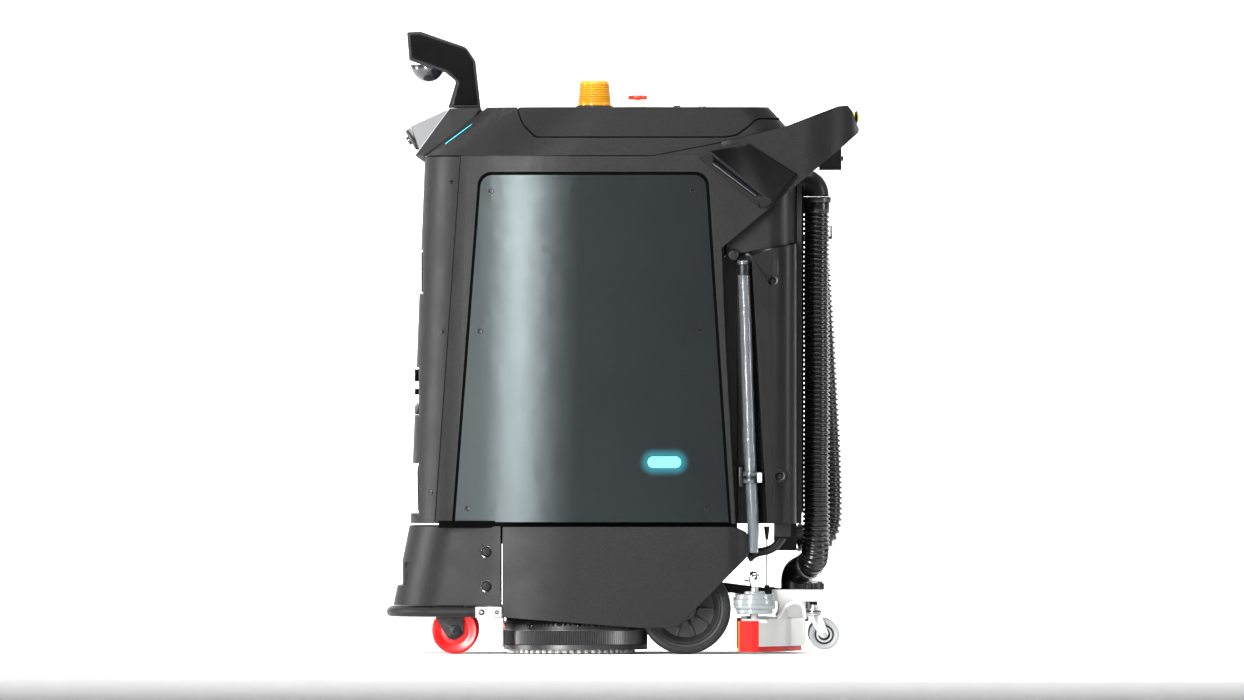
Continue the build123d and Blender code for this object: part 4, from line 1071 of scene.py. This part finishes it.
# %% Bumper ends and skirt bolts
for side in (LEFT, RIGHT):
    name = side_name(side)
    turned(f"bumper_collar_{name}", [(10.4, 0), (11.8, 0.6), (11.8, 4.4), (10.4, 5), (10.4, 0)],
           (-0.3158, side * 0.297, 0.0888), (1, 0, 0), black_satin, "root", 40)
    bm = bmesh.new()
    add_screw(bm, Vector((-0.298, side * 0.3086, 0.0888)), Vector((0, side, 0)), 6.2)
    add_screw(bm, Vector((-0.2655, side * 0.308, 0.0888)), Vector((0, side, 0)), 4.2)
    settle(to_mesh(bm, f"clamp_bolts_{name}"), f"clamp_bolts_{name}", screw_metal, "root")
    boxes(f"guard_marker_{name}", [((-252.9, side * 300 - 7, 53), (-249.5, side * 300 + 7, 65))],
          stop_red, "root", 0.0008)
    boxes(f"clamp_pad_{name}", [((-286, side * 308 - 1.4, 81), (-276, side * 308 + 1.4, 97))],
          white_coat, "root", 0.0012)
    for z in (143.4, 215.5):
        hits = [shell_hit((-287.7 + dx) * MM, (z + dz) * MM) for dx, dz in ((16, 0), (-16, 0), (0, 16), (0, -16))]
        y = sum(h[0] for h in hits) / 4
        slope = sum((h[1] for h in hits), Vector()).normalized()
        centre = Vector((-0.2877, -side * y, z * MM))
        facing = (slope.x, -side * slope.y, slope.z)
        turned(f"skirt_dish_{name}_{round(z)}", [
            (5.6, -9.4), (8.4, -9), (10.0, -6), (10.8, -1.2), (11.6, -0.4), (12.6, 0.1), (12.2, 0.5), (11, 0.3),
            (10, -1.4), (9.2, -5.6), (7.8, -8), (5.6, -8.4), (5.6, -9.4)], centre, facing, black_gloss, "root", 48)
        turned(f"skirt_bolt_{name}_{round(z)}", [
            (0, -9.6), (5.6, -9.6), (5.9, -8), (5.9, -5), (5.2, -4.2), (3, -4.0), (2.8, -6), (0, -6.2)],
            centre, facing, screw_metal, "root", 24)
print("front details ready")

# %% [markdown]
# ## Squeegee
# The red blade shows an orange edge at its turned-up end. The white body carries grey guide rollers with
# chrome caps, small casters under knurled star knobs, and a bent hoop that guards the roller.

# %% Blade
def blade_colours():
    """Red rubber that turns orange along its outer end."""
    made, tree, shader = new_material("blade_two_tone")
    place = tree.nodes.new("ShaderNodeTexCoord")
    split = tree.nodes.new("ShaderNodeSeparateXYZ")
    tree.links.new(place.outputs["Object"], split.inputs[0])
    fine = grain(tree, 500, 2)
    edge = spread(tree, split.outputs["X"], 1.0, 0.0, 0.2425, 0.2445)
    tone = tree.nodes.new("ShaderNodeMix")
    tone.data_type = "RGBA"
    tree.links.new(edge, tone.inputs["Factor"])
    tree.links.new(two_tones(tree, fine, (0.40, 0.006, 0.004), (0.46, 0.009, 0.006)), tone.inputs["A"])
    tree.links.new(two_tones(tree, fine, (0.52, 0.08, 0.008), (0.56, 0.10, 0.010)), tone.inputs["B"])
    tree.links.new(tone.outputs["Result"], shader.inputs["Base Color"])
    shader.inputs["Roughness"].default_value = 0.5
    shader.inputs["Specular IOR Level"].default_value = 0.15
    bumped(tree, shader, fine, 0.00006, 0.4, 0.0006)
    return made


skin("squeegee_blade", blade_colours())


# %% Rollers and hoop
def bar_along(name, points, radius, material, body, steps=16):
    """A round bar bent through a few points given in millimetres."""
    line = spline_points(name + "_line", points)
    long = line_length(line)
    bm = bmesh.new()
    count = max(8, int(long / 0.004))
    profile = [(0, 0)] + [(radius * MM, long * k / count) for k in range(count + 1)] + [(0, long)]
    spin_profile(bm, profile, (0, 0, 0), (0, 0, 1), steps)
    onto_line(bm, line)
    return settle(to_mesh(bm, name), name, material, body, 40)


def squeegee_roller(side):
    name, centre, up = side_name(side), Vector((0.2753, side * 0.335, 0)), (0, 0, 1)
    body = f"roller_{name}"
    tread = turned(f"roller_tread_{name}", [
        (8.4, 86), (36, 85), (38.4, 86.5), (38.5, 95), (41, 96), (43.3, 97.2), (43.7, 99), (43.7, 103.4),
        (42.8, 104.2), (42.8, 105.6), (43.7, 106.4), (43.7, 112.6), (42.9, 115.6), (40.2, 117), (39.9, 120),
        (39.2, 125.6), (37, 127), (23, 127.3), (22.2, 128.2), (21.8, 132), (20, 133), (12.3, 133),
        (12.3, 131.9), (8.4, 131.9), (8.4, 86)], centre, up, roller_grey, body, 96, 28)
    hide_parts(body)
    turned(f"roller_cap_{name}", [
        (0, 152), (7.6, 152), (7.7, 140), (11.4, 152.2), (11.5, 162), (10.4, 166.4), (7.6, 170.4),
        (4, 172.8), (0, 173.6)], centre, up, chrome, "squeegee", 48, 40)
    turned(f"roller_post_{name}", [(7.5, 133.4), (7.7, 133.4), (7.7, 152.2), (7.5, 152.2), (7.5, 133.4)],
           centre, up, steel, "squeegee", 40)
    boxes(f"roller_lever_{name}", [((256, side * 335 - 2.4, 147.6), (269, side * 335 + 2.4, 152.4))],
          chrome, "squeegee", 0.0016)
    hoop = [(324.5, 75), (330, 88), (341, 104), (362, 111), (377, 104), (380, 92), (381, 75)]
    bar_along(f"squeegee_hoop_{name}", [(x, side * 300, z) for x, z in hoop], 4.2, white_coat, "squeegee")


for side in (LEFT, RIGHT):
    squeegee_roller(side)


# %% Small casters
def small_caster(side):
    name, centre, axis = side_name(side), Vector((0.422, side * 0.235, 0.0414)), (0, side, 0)
    wheel, fork = f"squeegee_wheel_{name}", f"squeegee_caster_{name}"
    tread = turned(f"small_tread_{name}", [
        (20.5, -9.5), (24, -11.5), (28.5, -12), (31, -10.4), (32, -7), (32, 7), (31, 10.4), (28.5, 12),
        (24, 11.5), (20.5, 9.5), (20.5, -9.5)], centre, axis, tread_grey, wheel, 80)
    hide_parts(wheel)
    turned(f"small_core_{name}", [
        (4.4, -12), (8, -12), (9.5, -8), (20.6, -8), (20.6, 8), (9.5, 8), (8, 12), (4.4, 12), (4.4, -12)],
        centre, axis, black_satin, wheel, 56)
    turned(f"small_ring_{name}", [
        (12.4, 7.8), (16.6, 7.8), (16.6, 9.4), (15.6, 10), (13.2, 10), (12.4, 9.4), (12.4, 7.8)],
        centre, axis, light_grey, wheel, 56)
    bm = bmesh.new()
    add_ring_of(bm, stud(5.5, 18.1, 22.0), centre, axis, 1, 0)
    add_ring_of(bm, stud(5.5, 18.1, 22.0), centre, (0, -side, 0), 1, 0)
    settle(to_mesh(bm, f"small_axle_nuts_{name}"), f"small_axle_nuts_{name}", steel, fork)
    stem = Vector((0.400, side * 0.235, 0))
    bm = bmesh.new()
    outline = []
    for k in range(48):
        angle = math.tau * k / 48
        reach = 19.6 + 2.5 * math.cos(8 * angle)
        outline.append(stem + Vector((reach * math.cos(angle), reach * math.sin(angle), 136.0)) * MM
                       - stem * MM)
    add_plate(bm, outline, Vector((0, 0, 0.0136)), 0.0016, 3)
    settle(to_mesh(bm, f"star_knob_{name}"), f"star_knob_{name}", black_satin, fork, 40)
    turned(f"star_knob_cap_{name}", [(0, 149), (9, 149.6), (8.4, 151.4), (5, 152.2), (0, 152.4)],
           stem, (0, 0, 1), steel, fork, 32)
    turned(f"stem_washers_{name}", [
        (8.2, 87), (18, 87.2), (18, 89.2), (12, 89.6), (12, 92), (15.4, 92.4), (15.4, 95.4), (10, 96),
        (10, 104), (8.2, 104), (8.2, 87)], stem, (0, 0, 1), steel, fork, 48)


for side in (LEFT, RIGHT):
    small_caster(side)
print("squeegee ready")

# %% [markdown]
# ## Hose fittings and cable
# Worm-drive bands clamp the hose ends. The lift cable is twisted from six strands.

# %% Hose bands
def band(name, centre, axis, radius, body, material=steel, tall=9.0):
    centre = Vector(centre) * MM
    turned(name, [(radius - 0.4, -tall / 2), (radius + 0.5, -tall / 2), (radius + 0.9, -tall / 2 + 0.8),
                  (radius + 0.9, tall / 2 - 0.8), (radius + 0.5, tall / 2), (radius - 0.4, tall / 2),
                  (radius - 0.4, -tall / 2)], centre, axis, material, body, 64)
    bm = bmesh.new()
    turn = axis_matrix(axis)
    spot = centre + turn @ Vector((0, -(radius + 3.4) * MM, 0))
    made = add_box(bm, Vector((-0.009, -0.0035, -0.0045)), Vector((0.009, 0.0035, 0.0045)), 0.001)
    bmesh.ops.transform(bm, matrix=Matrix.Translation(spot) @ turn.to_4x4(), verts=bm.verts)
    settle(to_mesh(bm, name + "_screw"), name + "_screw", material, body)


band("suction_band_top", (406, -115, 955), (0, 0, 1), 30.8, "root", dark_band)
first = Vector(SUCTION_ROUTE[0]) + (Vector(SUCTION_ROUTE[1]) - Vector(SUCTION_ROUTE[0])).normalized() * 9
port_axis = (Vector(SUCTION_ROUTE[1]) - Vector(SUCTION_ROUTE[0])).normalized()
band("suction_band_low", first, port_axis, 30.0, "root")
first = Vector(DRAIN_ROUTE[0]) + (Vector(DRAIN_ROUTE[1]) - Vector(DRAIN_ROUTE[0])).normalized() * 8
band("drain_band", first, (Vector(DRAIN_ROUTE[1]) - Vector(DRAIN_ROUTE[0])).normalized(), 25.4, "root")
turned("port_flange", [(30, 124.2), (38, 124.2), (39, 125.2), (39, 128.6), (37.6, 130), (31, 130.4), (30, 124.2)],
       (0.362, 0, 0), (0, 0, 1), black_satin, "squeegee", 64)
bm = bmesh.new()
add_ring_of(bm, stud(3, 129.5, 132.6), Vector((0.362, 0, 0)), (0, 0, 1), 4, 0.0345, 0.8)
settle(to_mesh(bm, "port_bolts"), "port_bolts", steel, "squeegee")


# %% Lift cable
def lift_cable():
    """Six strands laid in a helix, with a cone."""
    bm = bmesh.new()
    foot, top, strand = Vector((0.3024, -0.060, 0.1442)), 0.2405, 0.00062
    for k in range(6):
        angle = math.tau * k / 6
        spot = foot + Vector((math.cos(angle), math.sin(angle), 0)) * 0.00105
        ring = bmesh.ops.create_circle(bm, segments=6, radius=strand, cap_ends=False)["verts"]
        bmesh.ops.translate(bm, vec=spot, verts=ring)
        edges = list({e for v in ring for e in v.link_edges})
        bmesh.ops.spin(bm, geom=ring + edges, cent=foot, axis=(0, 0, 1), angle=math.tau * 4, steps=72,
                       dvec=(0, 0, (top - foot.z) / 72), use_merge=False, use_duplicate=False)
    piece = settle(to_mesh(bm, "lift_cable_strands"), "lift_cable_strands", black_satin, None, 70)
    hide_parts("lift_cable")
    cone = turned("lift_cone", [(0, 240), (2.6, 240), (3.2, 242), (5.8, 262), (6.4, 267.8), (0, 267.8)],
                  (0.3024, -0.060, 0), (0, 0, 1), black_satin, "root", 40)
    return piece, cone


cable, cone = lift_cable()
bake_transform(cable)
print("hose bands and cable ready")

# %% [markdown]
# ## Lamp, switches and labels on the lid
# The beacon is a ribbed amber lens over a reflector. The emergency stop is a red mushroom head on a pale
# collar, over a blank label plate. A start button and a key switch follow, each with a blank plate.

# %% Beacon
beacon_centre = Vector((-0.061, 0, 0))
ribs = [(33.2, 1155.2), (35.4, 1155.8), (35.4, 1162.4), (34.6, 1163.4)]
for rib in range(8):
    radius, low = 34.8 - rib * 0.36, 1163.6 + rib * 4.9
    ribs += [(radius - 1.7, low), (radius - 0.6, low + 0.9), (radius, low + 1.8), (radius, low + 3.0),
             (radius - 0.6, low + 3.9), (radius - 1.7, low + 4.7)]
ribs += [(30.4, 1204), (29.6, 1206.4), (27, 1207.8), (0, 1208), (0, 1205.4), (26, 1205), (28.6, 1203),
         (31, 1164), (33.2, 1155.2)]
lens = turned("beacon_lens_ribbed", ribs, beacon_centre, (0, 0, 1), amber, "lid", 96, 50)
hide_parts("beacon_lens")
turned("beacon_core", [
    (0, 1155.4), (26, 1155.4), (26, 1158), (17, 1160), (15.5, 1162), (15.5, 1186), (21, 1196), (21, 1198),
    (14, 1199), (0, 1199)], beacon_centre, (0, 0, 1),
    moulded("beacon_core", (0.75, 0.36, 0.03), 0.3, 0.003, 0.00004, 0.08), "lid", 64)

# %% Base, collar and switches
base = turned("beacon_base", [
    (0, 1150.1), (43.2, 1150.1), (43.5, 1151), (42.6, 1152.2), (39.4, 1152.6), (39, 1154.6), (37.6, 1155.4),
    (0, 1155.4)], beacon_centre, (0, 0, 1), black_satin, "lid", 80)
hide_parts("lid_fittings")
stop_centre = Vector((0.030, 0, 0))
turned("estop_collar", [
    (6.6, 1151.2), (17.6, 1151.2), (18, 1152), (18, 1154), (15.6, 1155), (15.4, 1165.6), (14.6, 1167),
    (6.6, 1167), (6.6, 1151.2)], stop_centre, (0, 0, 1), pale_clear, "lid", 56)
head = turned("estop_mushroom", [
    (0, 1156.6), (5.8, 1156.6), (5.9, 1172.6), (16.3, 1172.6), (16.4, 1168.2), (19.4, 1168), (20.5, 1169.4),
    (20.5, 1174.4), (19.6, 1176.4), (17, 1177.4), (9, 1177.7), (0, 1177.3)],
    stop_centre, (0, 0, 1), stop_red, "estop", 72, 40)
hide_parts("estop_head")
boxes("label_plates", [((4, -26, 1150.1), (56, 26, 1151.1)), ((68, -16, 1150.1), (99, 16, 1151.1)),
                       ((121.5, -16, 1150.1), (152.5, 16, 1151.1))], label_yellow, "lid", 0.0004)
for x in (113, 166.5):
    turned(f"switch_ring_{round(x)}", [
        (8.3, 1150.9), (11, 1150.2), (11.2, 1151.4), (10.4, 1152.6), (8.7, 1152.9), (8.3, 1152.2), (8.3, 1150.9)],
        (x * MM, 0, 0), (0, 0, 1), chrome, "lid", 48)
cap = turned("start_cap", [(0, 1152.9), (7.7, 1152.9), (7.8, 1154.6), (7.2, 1155.5), (5, 1155.9), (0, 1155.6)],
             (0.113, 0, 0), (0, 0, 1), black_gloss, "start", 48)
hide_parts("start_button")
barrel = turned("key_barrel", [
    (0, 1151.3), (7.6, 1151.3), (7.8, 1152), (7.8, 1153), (7.0, 1153.5), (4.2, 1153.6), (4.0, 1152.6), (0, 1152.6)],
    (0.1665, 0, 0), (0, 0, 1), chrome, "key", 48)
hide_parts("key_switch")
boxes("key_grip", [((159.2, -1.6, 1152.4), (173.8, 1.6, 1155.1))], black_satin, "key", 0.0008)
boxes("lid_pad", [((219, -300.8, 1079), (234, -296, 1085)), ((219, 296, 1079), (234, 300.8, 1085))],
      white_coat, "root", 0.001)
print("lid controls ready")

# %% [markdown]
# ## Head, pods and rear
# The dome camera hangs under the mast in a gloss black shell. The camera pod shows a dark front band with
# three lenses, and gloss glass closes the windows of the pods. A yellow release button sits in the handle.

# %% Mast faces
MAST_FACE = [(-452.5, 1305), (-429, 1306), (-334, 1274.5), (-317.5, 1247.5), (-307, 1156), (-361, 1156),
             (-347.5, 1206), (-373.5, 1230), (-448, 1256)]
MAST_RADII = [3, 5, 20, 11, 2, 2, 12, 5, 3]


def closed_outline(points, radii):
    """A closed outline with rounded corners, as (x, z) pairs."""
    count = len(points)
    line = []
    for i in range(count):
        corner = [points[i - 1], points[i], points[(i + 1) % count]]
        line += rounded(corner, [0, radii[i], 0])[1:-1]
    return [tuple(p) for p in line]


for side in (LEFT, RIGHT):
    low, high = sorted((side * 41.6, side * 42.7))
    side_plate(f"mast_face_{side_name(side)}", closed_outline(MAST_FACE, MAST_RADII), low, high,
               pod_satin, "root", 0.0004, 1)
print("mast faces laid")

# %% Dome, lenses and windows
optics = skin("sensor_optics", black_gloss, sharp=60)
repaint(optics, bumper_rubber, lambda spot: spot.z < 0.2)
dome_centre = Vector((-0.4127, 0, 0))
turned("dome_ring", [(34.6, 1236.5), (36.2, 1237), (36.6, 1240), (36.2, 1241.6), (34.6, 1241.6), (34.6, 1236.5)],
       dome_centre, (0, 0, 1), black_satin, "root", 64)
bowl = [(35.4 * math.cos(math.radians(a)), 1239.8 - 35.4 * math.sin(math.radians(a))) for a in range(0, 90, 3)]
turned("dome_bowl", bowl + [(0, 1204.4), (0, 1206.4), (33.4, 1239.8), (35.4, 1239.8)], dome_centre, (0, 0, 1),
       black_gloss, "root", 72)
for y in (-32, 0, 32):
    turned(f"camera_lens_{y + 40}", [
        (0, 5.6), (5.4, 5.8), (6, 6.6), (8.2, 7.2), (9.2, 6.6), (9.4, 0.4), (0, 0.4)],
        (-0.449, y * MM, 1.083), (-0.84, 0, -0.54), black_gloss, "root", 40)
side_plate("camera_front_band", [(-460.4, 1100.4), (-455.6, 1104.6), (-436, 1080.5), (-436.6, 1063), (-438.6, 1062.6)],
           -62.6, 62.6, black_satin, "root", 0.0008)
# Painted highlight: a thin light grey strip along the head's slanted front edge stands in for the light caught by that
# rounded edge.
side_plate("head_edge_highlight", [(-439.4, 1049.2), (-438.0, 1048.4), (-366.0, 1147.0), (-367.2, 1148.0)],
           -150.4, 150.4, light_grey, "root", 0.0006)

# %% Handle button and rear fittings
button = turned("handle_button_cap", [
    (0, 0.2), (9.4, 0.2), (9.4, 15.6), (8.6, 17.4), (6.6, 18.3), (0, 18.4)],
    (0.480, 0, 1.131), (1, 0, 0), label_yellow, "handle_release", 48)
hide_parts("handle_button")
turned("handle_button_bezel", [
    (9.9, 8), (12, 8), (13.6, 12.2), (13.6, 13.4), (12.2, 14.4), (9.9, 14.4), (9.9, 8)],
    (0.480, 0, 1.131), (1, 0, 0), black_satin, "root", 48)


def rear_screws():
    bm = bmesh.new()
    for side in (LEFT, RIGHT):
        for z in (300, 500, 700, 873, 906, 940, 973):
            add_screw(bm, Vector((0.3752, side * 0.218, z * MM)), Vector((1, 0, 0)), 4.0)
        for x, z in ((314, 785.7), (329, 375.5)):
            add_screw(bm, Vector((x * MM, side * 0.2835, z * MM)), Vector((0, side, 0)), 7.0)
    for y in (-52, 52):
        add_screw(bm, Vector((0.4602, y * MM, 1.0435)), Vector((1, 0, 0)), 4.0)
    settle(to_mesh(bm, "rear_screws"), "rear_screws", screw_metal, "root")


rear_screws()
for side in (LEFT, RIGHT):
    for x, z in ((314, 785.7), (329, 375.5)):
        turned(f"tank_washer_{side_name(side)}_{x}", [
            (10.6, 0), (12.2, 0.4), (12.2, -11), (7, -12), (7, -13), (13, -13), (13.6, 0.8), (12.6, 1.6), (10.6, 0)],
            (x * MM, side * 0.2972, z * MM), (0, side, 0), black_satin, "root", 40)
print("head and rear ready")
